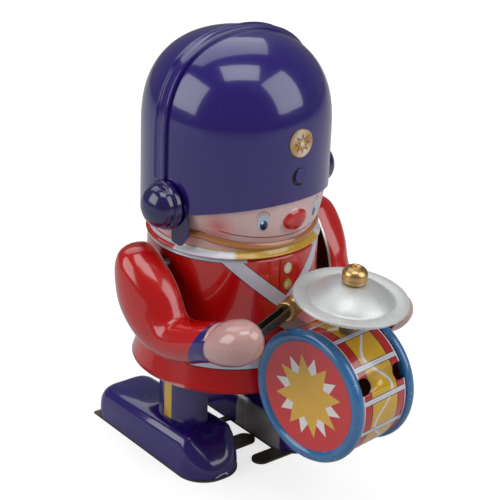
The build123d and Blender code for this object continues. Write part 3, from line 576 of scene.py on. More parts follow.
# --- face and collar
def face_paint():
    """The printed face: eyes, brows, blushed cheeks, a thin smile and the painted chin strap, with painted shade
    above the strap and painted highlights on the nose and along the strap.
    """
    paint = tin_print("face_print")
    u = (paint.angle(paint.x, -paint.y) - HEAD_TURN) * FACE_R
    v = paint.z
    side = u.abs()
    line = v - CHIN_Z - (u * u * CHIN_RISE).min(CHIN_RISE_MAX)
    blush_d = (((side - 19.4) * (side - 19.4)) + (v - 70.8) * (v - 70.8)).sqrt()
    smile = v - (67.35 + side * side * 0.0062)

    def oval(across, rise, half_w, half_h):
        """1 inside an oval of the eye, placed from the eye's own middle."""
        return paint.ellipse(side, v, EYE_X + across, EYE_Z + rise, half_w, half_h)

    eye = oval(0, 0, 1.4, 2.25)
    lid = oval(0, 0.5, 1.95, 2.65) * (1.0 - oval(0, 0.3, 1.85, 2.6))
    # Painted highlight: the nose's red is paler towards its top.
    red = paint.mix(v.above(NOSE_Z + 0.3, 1.8) * 0.35, linear(204, 16, 18), linear(220, 44, 40))
    # Painted highlight: a paler stripe along the middle of the strap, on the crest of its bead.
    strap = paint.lay(linear(196, 126, 66), (paint.noise(0.15, 3.0), linear(172, 100, 50)),
                      (line.between(-1.5, -0.7, 0.5) * 0.35, linear(224, 168, 112)))
    look = paint.lay(
        linear(240, 208, 206), (paint.noise(0.06, 2.0), linear(230, 192, 192)),
        # Painted shade: the face darkens towards the chin strap.
        (line.below(1.0, 1.8) * 0.3, linear(206, 136, 128)),
        (blush_d.below(2.4, 4.6) * 0.75, linear(214, 50, 52)),
        (smile.between(-0.16, 0.14, 0.14) * side.below(19.0, 0.8), linear(150, 36, 44)),
        (oval(0, 0.05, 1.52, 2.4) * 0.7, linear(96, 108, 140)),
        (eye, linear(196, 216, 236)),
        (eye * v.below(EYE_Z + 0.1, 1.4) * 0.6, linear(232, 238, 246)),
        (oval(-0.25, -0.75, 1.02, 1.4), linear(40, 84, 150)),
        (oval(-0.25, -0.95, 0.66, 0.95), linear(10, 16, 44)),
        (oval(0.15, 0.05, 0.34, 0.42), linear(244, 250, 255)),
        (lid * v.above(EYE_Z + 1.4, 0.4), linear(116, 96, 104)),
        (paint.ellipse(u, v, NOSE_X, NOSE_Z, NOSE_HALF_W, NOSE_HALF_H), red),
        (line.between(-2.1, 0.0, 0.1), strap),
        (line.between(-0.1, 0.18, 0.12) * 0.7, linear(120, 62, 34)))
    return paint.finish(look, 0.2 + paint.noise(0.2) * 0.1,
                        paint.noise(0.3, 2.0) + paint.noise(2.2, 2.0) * 0.1)


def nose_relief(point):
    """Pushes the embossed oval of the nose out of the face."""
    u = FACE_R * atan2(point.x, -point.y) - NOSE_X
    reach = (u / (NOSE_HALF_W + 0.1)) ** 2 + ((point.z - NOSE_Z) / (NOSE_HALF_H + 0.1)) ** 2
    if reach >= 1 or point.y > 0 or point.xy.length < 21.75 + 0.2 * (point.z - 68.5):
        return point
    swell = 1.1 * sqrt(1 - reach ** 1.6)
    return point + Vector((0, -swell, 0))


def face_relief(point):
    """The nose, and the chin strap's bead that climbs from the chin towards the ears."""
    nosed = nose_relief(point)
    u = FACE_R * atan2(point.x, -point.y)
    climb = min(u * u * CHIN_RISE, CHIN_RISE_MAX) + CHIN_Z - 66.6
    if point.z < 64.6:
        share = max(point.z - 63.4, 0.0) / 1.2
    else:
        share = min(1.0, max(0.0, 1 - (point.z - 66.85) / 6.0))
    return nosed + Vector((0, 0, climb * share))


def build_head():
    wall = [(20.9, 63.4), (21.0, 64.2), (21.2, 64.6), (21.6, 64.85), (21.9, 65.4), (21.85, 65.95), (21.55, 66.4),
            (21.35, 66.6), (21.4, 66.85), (21.65, 67.5)]
    wall += [(CHEEK_R - 1.1 + 1.1 * sin(i / 16 * pi / 2), 68.0 + 0.5 * i) for i in range(17)]
    wall += [(CHEEK_R, 78.4), (CHEEK_R, 80.4)]
    back = [(r - 0.5, z) for r, z in reversed(wall)]
    bm = lathe(wall + back, 240, -pi / 2, warp=face_relief)
    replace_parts(to_object("face_shell", turned(bm), face_paint(), "figure"), "face_band")

    paint = tin_print("collar_print")
    u = paint.angle(paint.x, -paint.y) * 22.0
    side = u.abs()
    nape = paint.mix(paint.z.between(63.3, 64.0, 0.1), RED, WHITE)
    look = paint.lay(
        linear(214, 172, 52), (paint.noise(0.12, 3.0), linear(196, 150, 40)),
        (paint.z.above(64.15, 0.2), linear(232, 204, 190)),
        (paint.noise(0.7, 4.0).above(0.62, 0.1) * 0.3, linear(236, 214, 140)),
        (side.above(14.0, 1.2) * paint.z.below(63.9, 0.15), WHITE), (side.above(30.5, 0.3), nape))
    paint.finish(look, 0.22 + paint.noise(0.3) * 0.1, paint.noise(0.4, 2.0))
    ring = round_outline([(20.2, 64.2), (21.0, 64.2), (21.3, 63.6), (21.95, 62.95), (22.45, 62.6),
                          (22.45, NECK_Z), (21.6, NECK_Z), (20.4, 63.2)], 0.16)
    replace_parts(to_object("collar_ring", lathe(ring, 160), paint.material, "figure"), "neck_collar")


# --- tunic
def tunic_radius(z):
    """The tunic's outer radius at height z."""
    knots = ((NECK_Z, 21.3), (61.2, 22.0), (50.0, CHEST_R), (42.0, 22.6), (34.5, 23.4), (WAIST_Z, 23.7),
             (SKIRT_Z, SKIRT_R))
    for (z1, r1), (z0, r0) in zip(knots, knots[1:]):
        if z >= z0:
            return r0 + (r1 - r0) * (z - z0) / (z1 - z0)
    return knots[-1][1]


def tunic_paint():
    """Red tunic print: white cross belts, waist belt, buttons and black outlines."""
    paint = tin_print("tunic_print")
    u = paint.angle(paint.x, -paint.y) * CHEST_R
    v = paint.z
    side = u.abs()
    front = paint.y.below(0.0, 0.3)
    inside_v = v.above(50.6 + side * 0.78, 0.12)
    placket = (u + 2.1).abs().below(0.13, 0.1) * inside_v * front
    coats = [(paint.noise(0.05, 2.0), RED_DEEP), (inside_v * front * 0.55, linear(206, 44, 34)),
             (placket * v.below(61.4, 0.1), BLACK)]
    # Painted highlight: a pale spot on each button, a little off its middle.
    for cz, gold in ((58.2, linear(226, 214, 190)), (53.9, linear(204, 158, 62))):
        coats += [(paint.ellipse(u, v, 0.4, cz, 1.5, 1.75), linear(116, 84, 30)),
                  (paint.ellipse(u, v, 0.4, cz, 1.22, 1.45), gold),
                  (paint.ellipse(u, v, 0.15, cz - 0.1, 0.62, 0.8) * 0.5, linear(246, 240, 214))]
    strap_mid = v - (48.6 + side * 0.86)
    strap_end = side.below(18.5, 0.3)
    strap = strap_mid.between(-2.3, 2.2, 0.1) * strap_end
    outline = strap_mid.between(-2.62, 2.45, 0.1) * strap_end
    nape = v.above(61.2, 0.1) * side.above(11.0, 0.2)
    nape_line = v.above(60.95, 0.1) * side.above(11.5, 0.2)
    belt_top = 35.4
    chest = v.above(belt_top + 0.2, 0.1)
    white = paint.mix(paint.noise(0.2, 3.0), WHITE, linear(198, 196, 214))
    coats += [((outline * chest).max(nape_line), BLACK), ((strap * chest).max(nape), white),
              (v.between(WAIST_Z - 0.1, belt_top + 0.25, 0.1), BLACK),
              (v.between(WAIST_Z + 0.15, belt_top, 0.1), white),
              (v.below(SKIRT_Z + 0.5, 0.1) * 0.6, linear(120, 20, 20))]
    worn = paint.noise(0.3, 5.0, stretch=(1, 1, 0.2)).above(0.66, 0.05)
    return paint.finish(paint.lay(RED, *coats), 0.17 + paint.noise(0.07, 2.0) * 0.1 + worn * 0.1,
                        paint.noise(0.3, 2.0) + paint.noise(2.4, 2.0) * 0.1, 0.014)


def build_tunic():
    red = tunic_paint()
    heights = [NECK_Z - 0.02, 62.0, 61.2, 60.2] + [60 - i * 1.4 for i in range(1, 19)]
    heights += [34.2, 33.6, 33.0, 32.75, 32.6, 32.4, 31.8, 30.6, 29.2, 27.8, SKIRT_Z + 0.1]
    wall = [(17.6, NECK_Z - 0.05), (20.6, NECK_Z - 0.02)]
    wall += [(tunic_radius(z) - (0.5 if z > 62.1 else 0.12 if z > 61.8 else 0), z) for z in heights]
    wall += [(SKIRT_R, SKIRT_Z + 0.04), (SKIRT_R - 0.2, SKIRT_Z)]
    back = [(r - SHEET, z - (0.35 if r < 21 else 0)) for r, z in reversed(wall)]
    for name, node, start in (("tunic_front_shell", "torso_front", pi), ("tunic_back_shell", "torso_back", 0.0)):
        bm = lathe(wall + back, 96, start + 0.0015, pi - 0.003)
        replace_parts(to_object(name, bm, red, "figure"), node)


# --- arms
def arm_paint(hand):
    """Red sleeve, purple cuff and pink hand; the bands follow the arm's own drop."""
    paint = tin_print(f"arm_print_{hand}")
    drop = ARM_DROP[hand]
    ahead = paint.y - SHOULDER.y
    up = paint.z - SHOULDER.z
    y = ahead * cos(drop) + up * sin(drop) + SHOULDER.y
    z = up * cos(drop) - ahead * sin(drop) + SHOULDER.z
    pink = paint.mix(paint.noise(0.12, 3.0), linear(216, 172, 166), linear(196, 148, 146))
    cuff = -y - (z - 45.0) * 0.36
    wrist = -y + (z - 45.0) * 0.43
    look = paint.lay(RED, (paint.noise(0.06, 2.0), RED_DEEP), (cuff.above(24.3, 0.1), PURPLE),
                     (wrist.above(30.8, 0.1), BLACK), (wrist.above(31.0, 0.1), pink))
    return paint.finish(look, 0.17 + paint.noise(0.1, 2.0) * 0.1,
                        paint.noise(0.3, 2.0) + paint.noise(2.4, 2.0) * 0.1, 0.014)


ARM_PATH = (
    # right arm: x, y, z of the middle, half width across X, half length, turn of the section from straight up
    (-28.1, 1.4, 62.9, 1.6, 1.4, 90), (-28.0, 1.3, 62.4, 3.8, 3.3, 90), (-27.8, 1.2, 61.1, 5.7, 5.0, 90),
    (-27.6, 0.6, 59.3, 6.8, 6.7, 90), (-27.5, -0.3, 57.0, 7.4, 8.4, 91), (-27.5, -1.5, 53.6, 7.5, 9.9, 94),
    (-27.4, -2.9, 49.5, 7.5, 10.4, 100), (-27.4, -5.1, 46.5, 7.4, 9.7, 107), (-27.2, -7.9, 44.3, 7.2, 8.6, 121),
    (-27.0, -11.3, 43.0, 6.9, 7.4, 140), (-26.7, -15.9, 43.2, 6.6, 6.5, 159), (-26.2, -20.8, 44.5, 6.3, 5.9, 173),
    (-25.7, -25.0, 46.2, 6.0, 5.6, 175), (-25.4, -28.2, 47.4, 5.8, 5.5, 174), (-25.3, -28.9, 47.7, 5.6, 5.3, 174),
    (-25.3, -29.6, 48.1, 6.0, 5.8, 174), (-25.2, -31.6, 48.9, 6.6, 6.3, 173), (-25.1, -34.9, 49.8, 6.7, 6.4, 172),
    (-24.9, -38.3, 50.5, 5.8, 5.5, 172), (-24.8, -40.6, 50.9, 3.9, 3.7, 172), (-24.8, -41.7, 51.1, 1.6, 1.5, 172),
)


def smooth_path(rows, steps):
    """Rows resampled with a Catmull-Rom curve."""
    out = []
    for i in range(len(rows) - 1):
        p0, p1 = rows[max(i - 1, 0)], rows[i]
        p2, p3 = rows[i + 1], rows[min(i + 2, len(rows) - 1)]
        for k in range(steps):
            t = k / steps
            out.append(tuple(0.5 * (2 * b + (c - a) * t + (2 * a - 5 * b + 4 * c - d) * t * t
                                    + (3 * b - a - 3 * c + d) * t ** 3)
                             for a, b, c, d in zip(p0, p1, p2, p3)))
    out.append(rows[-1])
    return out


def arm(hand, sign, edge_metal, inside):
    """A pressed sleeve and hand, open towards the body, with its bare cut edge."""
    around = 40
    rings = []
    for x, y, z, across, along, lean in smooth_path(ARM_PATH, 3):
        tip = radians(lean)
        ring = []
        for i in range(around):
            turn = 2 * pi * i / around
            b = along * sin(turn)
            ring.append((sign * (-x - across * cos(turn)), y + b * sin(tip), z + b * cos(tip)))
        rings.append(ring)
    bm = stacked(rings)
    bmesh.ops.recalc_face_normals(bm, faces=bm.faces)
    bmesh.ops.bisect_plane(bm, geom=bm.verts[:] + bm.edges[:] + bm.faces[:], dist=1e-4,
                           plane_co=(sign * ARM_RIM_X, 0, 0), plane_no=(sign, -ARM_RIM_SLOPE, 0),
                           clear_inner=True)
    bright = Vector((sign * (ARM_RIM_X + 0.48), 0, 0))
    across = Vector((sign, -ARM_RIM_SLOPE, 0))
    bmesh.ops.bisect_plane(bm, geom=bm.verts[:] + bm.edges[:] + bm.faces[:], dist=1e-4, plane_co=bright,
                           plane_no=across)
    bm.normal_update()
    outer = bm.faces[:]
    for face in outer:
        face.material_index = int((face.calc_center_median() - bright).dot(across) < 0)
    rim = [edge for edge in bm.edges if len(edge.link_faces) == 1]
    twin = {vert: bm.verts.new(vert.co - vert.normal * 0.45) for vert in bm.verts[:]}
    for face in outer:
        bm.faces.new([twin[vert] for vert in reversed(face.verts)]).material_index = 2
    for edge in rim:
        a, b = edge.verts
        bm.faces.new((a, b, twin[b], twin[a])).material_index = 1
    bmesh.ops.rotate(bm, verts=bm.verts, cent=SHOULDER, matrix=Matrix.Rotation(ARM_DROP[hand], 3, "X"))
    obj = to_object(f"sleeve_{hand}", bm, [arm_paint(hand), edge_metal, inside], "arms", 50)
    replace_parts(obj, f"arm_shell_{hand}")


def build_arms(edge_metal, brass, stick_steel):
    inside = lacquer(Paint("bare_inside", roughness=0.5), linear(96, 58, 52), 1.0)
    for hand, sign in SIDES.items():
        arm(hand, sign, edge_metal, inside)
        drumstick(hand, sign, brass, stick_steel)


def drumstick(hand, sign, brass, steel):
    """A folded steel channel with a turned brass head on its end."""
    tip = Vector((sign * 5.0, -30.0, STICK_HEAD_Z[hand]))
    reach = Vector((sign * 23.4, -36.6, 50.7)) - SHOULDER
    grip = SHOULDER + Matrix.Rotation(ARM_DROP[hand], 3, "X") @ reach
    along = (tip - grip).normalized()
    neck = tip - along * 2.8
    length = (neck - grip).length
    across = along.cross(Vector((0, 0, 1))).normalized()
    up = across.cross(along)
    place = Matrix(((across.x, up.x, along.x, grip.x), (across.y, up.y, along.y, grip.y),
                    (across.z, up.z, along.z, grip.z), (0, 0, 0, 1)))
    section = round_outline([(-1.3, -1.3), (1.3, -1.3), (1.3, 1.3), (0.85, 1.3), (0.85, -0.85),
                             (-0.85, -0.85), (-0.85, 1.3), (-1.3, 1.3)], 0.22, 3)
    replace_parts(bevel(to_object(f"stick_channel_{hand}", prism(section, length, place), steel, "arms"), 0.08),
                f"drumstick_{hand}")
    head = round_outline([(0, 5.6), (1.9, 5.6), (2.55, 4.9), (2.6, 3.2), (2.25, 2.6), (2.25, 1.5), (2.6, 1.2),
                          (2.6, 0.25), (2.4, 0.0), (0, 0)], 0.22, 3)
    head = [(max(r, 0), h) for r, h in head]
    bm = lathe(head, 40, place=axes(neck, along, (0, 0, 1)))
    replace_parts(to_object(f"brass_head_{hand}", bm, brass, "arms"), f"stick_head_{hand}")


# --- drum
def drum_print(name):
    """A tin print whose x runs along the drum's own axis from its middle."""
    paint = tin_print(name)
    x, y = paint.x, paint.y - DRUM_Y
    paint.x = x * cos(DRUM_TURN) + y * sin(DRUM_TURN) - DRUM_X
    paint.y = y * cos(DRUM_TURN) - x * sin(DRUM_TURN) + DRUM_Y
    return paint


def drum_shell_paint():
    """Red and yellow bands with a white wave, and white lacing bars across them."""
    paint = drum_print("drum_shell_print")
    x = paint.x
    turn = paint.angle(paint.z - DRUM_Z, -(paint.y - DRUM_Y))
    arc = turn * DRUM_R
    yellow = paint.mix(paint.noise(0.1, 3.0), linear(232, 186, 36), linear(214, 160, 24))
    red = paint.mix(paint.noise(0.1, 3.0), linear(206, 34, 34), linear(180, 22, 26))
    wave = x - (turn * 6.0 - 0.32).sin() * 2.9
    across = x.abs()
    middle = 4.5                # half width of the yellow band
    spacing = 2 * pi * DRUM_R / 12
    lace = ((arc + 1.0).wrap(0.0, spacing) - spacing / 2).abs()
    look = paint.lay(
        red, (across.below(middle, 0.1), yellow),
        (across.between(middle - 0.07, middle + 0.2, 0.1), linear(70, 24, 16)),
        (wave.abs().below(0.42, 0.12) * across.below(middle - 0.15, 0.1), WHITE),
        (lace.below(0.78, 0.08), BLACK), (lace.below(0.58, 0.08), WHITE),
        (lace.below(0.1, 0.1) * 0.35, linear(150, 150, 160)),
        (across.between(SHELL_HALF - 0.75, SHELL_HALF - 0.35, 0.1), WHITE),
        (across.above(SHELL_HALF - 0.35, 0.1), BLACK))
    return paint.finish(look, 0.2 + paint.noise(0.2) * 0.1, paint.noise(0.3, 2.0))


def drum_head_paint():
    """A red skin with a yellow eight-point star over a white one, inside a blue rim."""
    paint = drum_print("drumhead_print")
    up = paint.z - DRUM_Z
    ahead = paint.y - DRUM_Y
    r = (up * up + ahead * ahead).sqrt()
    turn = paint.angle(ahead, up)
    red = paint.mix(paint.noise(0.1, 3.0), linear(226, 42, 46), linear(208, 32, 38))
    tilt = -0.26                # of the yellow star; the white one stands between its points
    pale, gold = (star_edge(r, turn + shift, 10.8, 5.9).below(0.0, 0.08) for shift in (pi / 8 + tilt, tilt))
    worn = paint.noise(0.9, 5.0).above(0.69, 0.04) * 0.5
    blue = paint.lay(BLUE, (paint.noise(0.25, 3.0), linear(60, 128, 186)), (worn, linear(150, 190, 215)))
    look = paint.lay(red, (pale, linear(250, 246, 246)), (gold, linear(242, 188, 58)),
                     (r.above(DRUM_RIM_R - 3.0, 0.1), blue))
    return paint.finish(look, 0.2 + paint.noise(0.2) * 0.12, paint.noise(0.3, 2.0))


def build_drum(brass, aluminium, steel, edge_metal):
    shell = round_outline([(DRUM_R, -SHELL_HALF), (DRUM_R, SHELL_HALF), (DRUM_R - SHEET, SHELL_HALF),
                           (DRUM_R - SHEET, -SHELL_HALF)], 0.05, 2)
    place = axes((0, DRUM_Y, DRUM_Z), (1, 0, 0), (0, 0, 1))
    wall = to_object("drum_wall", drum_turned(lathe(shell, 160, place=place)), [drum_shell_paint(), edge_metal],
                     "figure")
    carve(wall, notch_cutters(), edge_metal)
    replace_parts(wall, "drum_shell")
    skin = drum_head_paint()
    w = DRUM_HALF_W
    rr = DRUM_RIM_R
    for hand, sign in SIDES.items():
        profile = [(0, w - 0.9), (rr - 3.5, w - 0.9), (rr - 3.0, w - 0.82), (rr - 2.7, w - 0.5), (rr - 2.3, w - 0.16),
                   (rr - 1.7, w), (rr - 1.0, w - 0.08), (rr - 0.45, w - 0.42), (rr - 0.12, w - 0.95), (rr, w - 1.5),
                   (rr - 0.06, w - 2.1), (rr - 0.28, w - 2.6), (rr - 0.6, w - 2.8), (rr - 2.4, w - 2.8),
                   (rr - 2.6, w - 1.5), (0, w - 1.3)]
        head_place = axes((0, DRUM_Y, DRUM_Z), (sign, 0, 0), (0, 0, 1))
        obj = to_object(f"drum_skin_{hand}", drum_turned(lathe(profile, 144, place=head_place)), skin, "figure")
        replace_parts(obj, f"drumhead_{hand}")
    cymbal(aluminium, brass, steel)


def notch_cutters():
    """Round-ended bars that stand for the two vent notches, one by each rim."""
    half = NOTCH_H / 2
    bars = []
    for sign in SIDES.values():
        outline = [(SHELL_HALF + 1, -half), (SHELL_HALF + 1, half)]
        outline += [(SHELL_HALF - NOTCH_REACH + half * (1 - sin(a)), half * cos(a)) for a in
                    (pi * i / 14 for i in range(15))]
        out = Vector((0, -cos(NOTCH_ANGLE), sin(NOTCH_ANGLE)))
        middle = Vector((0, DRUM_Y, DRUM_Z)) + out * (DRUM_R - 3)
        bars.append(prism([(sign * x, h) for x, h in outline], 6, axes(middle, out)))
    return drum_turned(join(*bars))


def carve(obj, cutter_bm, material):
    """Cuts the cutter's shape out of a piece for good; the cut faces take that material."""
    cutter = to_object("cutter", cutter_bm, material, "figure")
    modifier = obj.modifiers.new("cut", "BOOLEAN")
    modifier.operation = "DIFFERENCE"
    modifier.solver = "EXACT"
    modifier.object = cutter
    bpy.context.view_layer.update()
    carved = bpy.data.meshes.new_from_object(obj.evaluated_get(bpy.context.evaluated_depsgraph_get()))
    obj.modifiers.remove(modifier)
    obj.data = carved
    bpy.data.objects.remove(cutter)


def cymbal(aluminium, brass, steel):
    """A spun cymbal on its post, held by a brass knob."""
    up = Vector((0, -sin(CYMBAL_LEAN), cos(CYMBAL_LEAN)))
    place = axes((0, DRUM_Y - CYMBAL_AHEAD, DRUM_Z), up)
    rim = CYMBAL_LIFT
    top = [(CYMBAL_R, rim + 0.2), (CYMBAL_R - 0.12, rim + 0.38), (13.2, rim + 0.42), (10.9, rim + 0.42),
           (10.5, rim + 0.18), (10.2, rim + 0.3)]
    top += [(r, rim + BELL_H * share) for r, share in ((9.9, 0.15), (9.0, 0.32), (7.8, 0.51), (6.4, 0.7), (5.0, 0.85),
                                                       (3.6, 0.95), (2.4, 0.99), (1.05, 1.0))]
    under = [(r, h - 0.38) for r, h in reversed(top)]
    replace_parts(to_object("cymbal_plate", lathe(top + under, 128, place=place), aluminium, "figure"), "cymbal")
    foot = rim + BELL_H + 0.05
    knob = [(0, 0.86), (0.9, 0.86), (1.05, 0.95), (1.45, 1.0), (2.0, 0.96), (2.6, 0.85), (KNOB_R - 0.15, 0.73),
            (KNOB_R, 0.62), (KNOB_R, 0.42), (KNOB_R - 0.07, 0.39), (KNOB_R - 0.07, 0.36), (KNOB_R, 0.33),
            (KNOB_R, 0.2), (KNOB_R - 0.15, 0.1), (KNOB_R - 0.5, 0.02), (KNOB_R - 0.8, 0), (0, 0)]
    knob = [(r, foot + KNOB_H * share) for r, share in knob]
    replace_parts(to_object("knob_turned", lathe(knob, 56, place=place), brass, "figure"), "cymbal_knob")
    post = round_outline([(0, foot + 2), (1.0, foot + 2), (1.0, foot - 0.5), (1.75, foot - 0.5),
                          (1.8, DRUM_R + 0.1), (1.0, DRUM_R + 0.05), (1.0, DRUM_R - 1.4), (0, DRUM_R - 1.4)], 0.1, 2)
    post = [(max(r, 0), h) for r, h in post]
    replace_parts(to_object("post_turned", lathe(post, 32, place=place), steel, "figure"), "cymbal_post")


# --- feet
INSTEP_H = 14.2
HEEL_H = 9.6
TOE_H = 3.8
TOE_RUN = 12.5              # from the toe back to the highest line of the shoe
HEEL_RUN = 4.5


def shoe_ring(node, drop, inset):
    """One ring of the shoe's skin: its plan outline moved in by inset, drop under the top surface."""
    low, high = mm_box(node)
    toe, heel = low.y, high.y
    half = (high.x - low.x) / 2 - inset
    mid = (high.x + low.x) / 2
    toe_r = half * 0.94
    heel_r = half * 0.55
    points = []
    for cx, cy, r, start in ((half - heel_r, heel - inset - heel_r, heel_r, 0),
                             (-half + heel_r, heel - inset - heel_r, heel_r, 90),
                             (-half + toe_r, toe + inset + toe_r, toe_r, 180),
                             (half - toe_r, toe + inset + toe_r, toe_r, 270)):
        for k in range(9):
            a = radians(start + 90 * k / 8)
            y = cy + r * sin(a)
            if y < toe + TOE_RUN:
                top = TOE_H + (INSTEP_H - TOE_H) * (1 - (1 - (y - toe) / TOE_RUN) ** 1.25)
            else:
                share = (y - toe - TOE_RUN) / (heel - HEEL_RUN - toe - TOE_RUN)
                top = INSTEP_H + (HEEL_H - INSTEP_H) * min(share, 1.0)
                tail = max(y - heel + HEEL_RUN, 0.0) / HEEL_RUN
                top -= 3.2 * (1 - sqrt(max(1 - tail ** 2, 0.0)))
            points.append((mid + cx + r * cos(a), y, max(top - drop, 0.62)))
    return points


def shoe_skin(node, inset):
    """The shoe's walls and top as one closed skin, moved inward by inset."""
    edge = ((30.0, 0.0), (8.0, 0.0), (5.0, 0.05), (3.4, 0.2), (2.3, 0.5), (1.4, 0.95), (0.8, 1.5), (0.35, 2.2),
            (0.1, 3.0), (0.0, 4.0), (0.0, 5.2), (0.0, 6.5))
    bm = stacked([shoe_ring(node, drop + inset, step + inset) for drop, step in edge], cap_low=inset > 0)
    bmesh.ops.triangulate(bm, faces=[f for f in bm.faces if len(f.verts) > 4])
    return bm


def trouser_paint():
    """Purple trousers with a yellow stripe down the outer side."""
    paint = tin_print("trouser_print")
    from_stripe = (paint.y - 1.8).abs()
    look = paint.lay(PURPLE, (paint.noise(0.08, 2.0), PURPLE_DEEP), (from_stripe.below(1.95, 0.1), BLACK),
                     (from_stripe.below(1.7, 0.1), linear(222, 176, 44)))
    return paint.finish(look, 0.18 + paint.noise(0.1) * 0.1, paint.noise(0.3, 2.0))


def shoe_paint():
    """Purple lacquer, with bare steel on the inner side ahead of the heel."""
    paint = tin_print("purple_enamel_shoe")
    steel = paint.x.abs().below(6.5, 0.3) * paint.y.between(-15.0, 3.2, 0.4)
    paint.feed(paint.shader.inputs["Metallic"], steel * 0.15)
    return lacquer(paint, paint.mix(steel, PURPLE, linear(186, 183, 180)), 0.8)


def build_feet():
    purple = shoe_paint()
    trousers = trouser_paint()
    for hand, sign in SIDES.items():
        body = f"{hand}_leg"
        node = f"shoe_{hand}"
        lining = shoe_skin(node, SHEET)
        bmesh.ops.reverse_faces(lining, faces=lining.faces)
        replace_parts(to_object(f"shoe_upper_{hand}", join(shoe_skin(node, 0.0), lining), purple, body, 60), node)

        leg_low, leg_high = mm_box(f"leg_shell_{hand}")
        cy = (leg_low.y + leg_high.y) / 2
        ry = (leg_high.y - leg_low.y) / 2
        rx = leg_high.x - leg_low.x
        flat = leg_low.x if sign > 0 else leg_high.x
        ring = [(abs(cos(a)) ** 0.75 * rx, sin(a) * ry) for a in (-pi / 2 + pi * k / 32 for k in range(33))]
        inner_ring = [(max(x - SHEET, 0.0), y * (1 - SHEET / ry)) for x, y in reversed(ring)]
        layers = [[(flat + sign * x, cy + y, z) for x, y in ring + inner_ring]
                  for z in (leg_low.z, 13.5, 18, 24, leg_high.z - 0.1)]
        obj = to_object(f"trouser_{hand}", stacked(layers), trousers, body, 50)
        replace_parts(obj, f"leg_shell_{hand}")


# --- carried-over CAD pieces
def dress_cad(finishes):
    """Gives each CAD node that stays its finish and a fine edge break."""
    for material, width, names in finishes:
        for name in names:
            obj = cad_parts[name]
            obj.data.materials.clear()
            obj.data.materials.append(material)
            if width:
                bevel(obj, width, 2, 35)


def both(name):
    return [f"{name}_{hand}" for hand in SIDES]


# --- stage
def softbox(name, azimuth, elevation, distance, size, radiance):
    """An area light aimed at the figure. Azimuth is measured from straight ahead towards the figure's left."""
    az, el = radians(azimuth), radians(elevation)
    target = Vector((0, -0.01, 0.06))
    out = Vector((sin(az) * cos(el), -cos(az) * cos(el), sin(el)))
    data = bpy.data.lights.new(name, "AREA")
    data.shape = "RECTANGLE"
    data.size, data.size_y = size
    data.energy = radiance * pi * size[0] * size[1]
    obj = bpy.data.objects.new(name, data)
    bpy.context.scene.collection.objects.link(obj)
    obj.location = target + out * distance
    obj.rotation_euler = (-out).to_track_quat("-Z", "Y").to_euler()


def build_stage():
    """A white table and a dim room with softboxes; the backdrop behind the object is plain white."""
    world = bpy.data.worlds.new("studio")
    world.use_nodes = True
    nodes, links = world.node_tree.nodes, world.node_tree.links
    room = nodes["Background"]
    room.inputs[0].default_value = (1, 1, 1, 1)
    room.inputs[1].default_value = 0.14
    backdrop = nodes.new("ShaderNodeBackground")
    backdrop.inputs[0].default_value = (1, 1, 1, 1)
    backdrop.inputs[1].default_value = 1.1
    mix = nodes.new("ShaderNodeMixShader")
    links.new(nodes.new("ShaderNodeLightPath").outputs["Is Camera Ray"], mix.inputs[0])
    links.new(room.outputs[0], mix.inputs[1])
    links.new(backdrop.outputs[0], mix.inputs[2])
    links.new(mix.outputs[0], nodes["World Output"].inputs[0])
    bpy.context.scene.world = world
    floor_paint = Paint("floor_white", roughness=0.9, Emission_Color=(1, 1, 1, 1))
    floor_paint.color(floor_paint.mix(floor_paint.noise(0.02), (0.55, 0.55, 0.55), (0.5, 0.5, 0.5)))
    seen = Value(floor_paint, floor_paint.tree.nodes.new("ShaderNodeLightPath").outputs["Is Camera Ray"])
    floor_paint.feed(floor_paint.shader.inputs["Emission Strength"], seen * 0.7)
    bm = bmesh.new()
    bmesh.ops.create_grid(bm, x_segments=8, y_segments=8, size=3000 * MM)
    mesh = bpy.data.meshes.new("floor")
    bm.to_mesh(mesh)
    bm.free()
    floor = bpy.data.objects.new("floor", mesh)
    mesh.materials.append(floor_paint.material)
    bpy.context.scene.collection.objects.link(floor)
    softbox("left_box", -107, 27, 0.9, (0.62, 0.62), 2.6)
    softbox("right_box", 32, 33, 0.9, (0.62, 0.75), 2.4)
    softbox("top_box", -30, 76, 0.8, (0.5, 0.36), 3.0)
    softbox("rear_box", 165, 55, 1.2, (1.3, 0.8), 1.3)


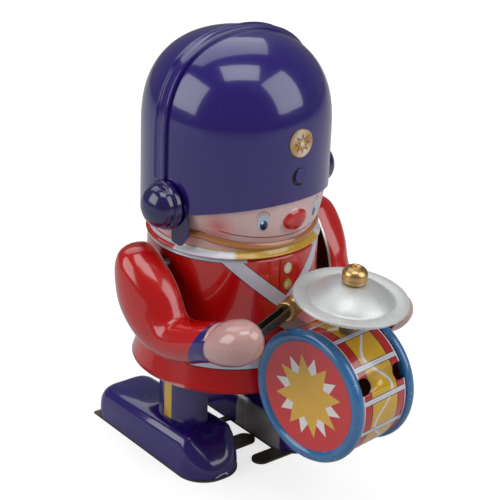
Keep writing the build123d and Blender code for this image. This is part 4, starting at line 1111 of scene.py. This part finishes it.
def build_camera():
    """The viewing angle: three quarters from the figure's right, looking slightly down."""
    azimuth, elevation, distance = radians(39.24), radians(23.43), 0.400
    roll = radians(2.2)
    target = Vector((3.597, -2.938, 55.385)) * MM
    back = Vector((-sin(azimuth) * cos(elevation), -cos(azimuth) * cos(elevation), sin(elevation)))
    data = bpy.data.cameras.new("camera")
    data.sensor_width = 36
    data.lens = 110.95
    camera = bpy.data.objects.new("camera", data)
    bpy.context.scene.collection.objects.link(camera)
    camera.location = target + back * distance
    look = (-back).to_track_quat("-Z", "Y").to_matrix().to_4x4()
    camera.rotation_euler = (look @ Matrix.Rotation(roll, 4, "Z")).to_euler()
    bpy.context.scene.camera = camera
    bpy.context.scene.view_settings.view_transform = "Standard"


def main():
    edge_metal = bare_metal("cut_edge", linear(230, 229, 224), 0.3)
    brass = bare_metal("turned_brass", linear(230, 194, 134), 0.27, (1, 1, 6), linear(166, 122, 70), 0.012)
    aluminium = bare_metal("spun_aluminium", linear(232, 234, 233), 0.4, (1, 1, 1), linear(186, 188, 190), 0.006,
                           metallic=0.6)
    stick_steel = bare_metal("stick_steel", linear(138, 130, 120), 0.34, (5, 1, 1), linear(70, 62, 54))
    sole_steel = bare_metal("sole_steel", linear(128, 118, 106), 0.4, (1, 5, 1), linear(66, 58, 50))
    zinc = bare_metal("galvanised_sheet", linear(168, 166, 160), 0.42, (1, 1, 1), linear(104, 102, 98), 0.01)
    lathed = bare_metal("turned_steel", linear(160, 160, 162), 0.28, (1, 6, 6))
    blued = bare_metal("blued_spring", linear(60, 66, 92), 0.3)
    nickel = bare_metal("nickel_plate", linear(214, 210, 202), 0.16, (1, 1, 1), linear(130, 124, 116), 0.004)
    build_hat()
    build_head()
    build_tunic()
    build_arms(edge_metal, brass, stick_steel)
    build_drum(brass, aluminium, stick_steel, edge_metal)
    build_feet()
    dress_cad([
        (sole_steel, 0.12, both("sole")),
        (zinc, 0.1, both("leg_plate") + both("motor_plate") + both("guide_pin") + both("crank_disc")
         + ["drum_bracket", "frame_pillars"]),
        (brass, 0.05, ["great_wheel", "crank_wheel", "idler_wheel", "flywheel", "beat_cam"]),
        (lathed, 0.0, ["crankshaft", "crank_pinion", "idler_arbor", "idler_pinion", "fly_arbor", "fly_pinion",
                       "winding_arbor", "ratchet_wheel", "click", "arm_shaft", "arm_lever"]),
        (blued, 0.0, ["mainspring", "click_spring"]),
        (nickel, 0.25, ["winding_key"]),
    ])
    build_stage()
    build_camera()


main()
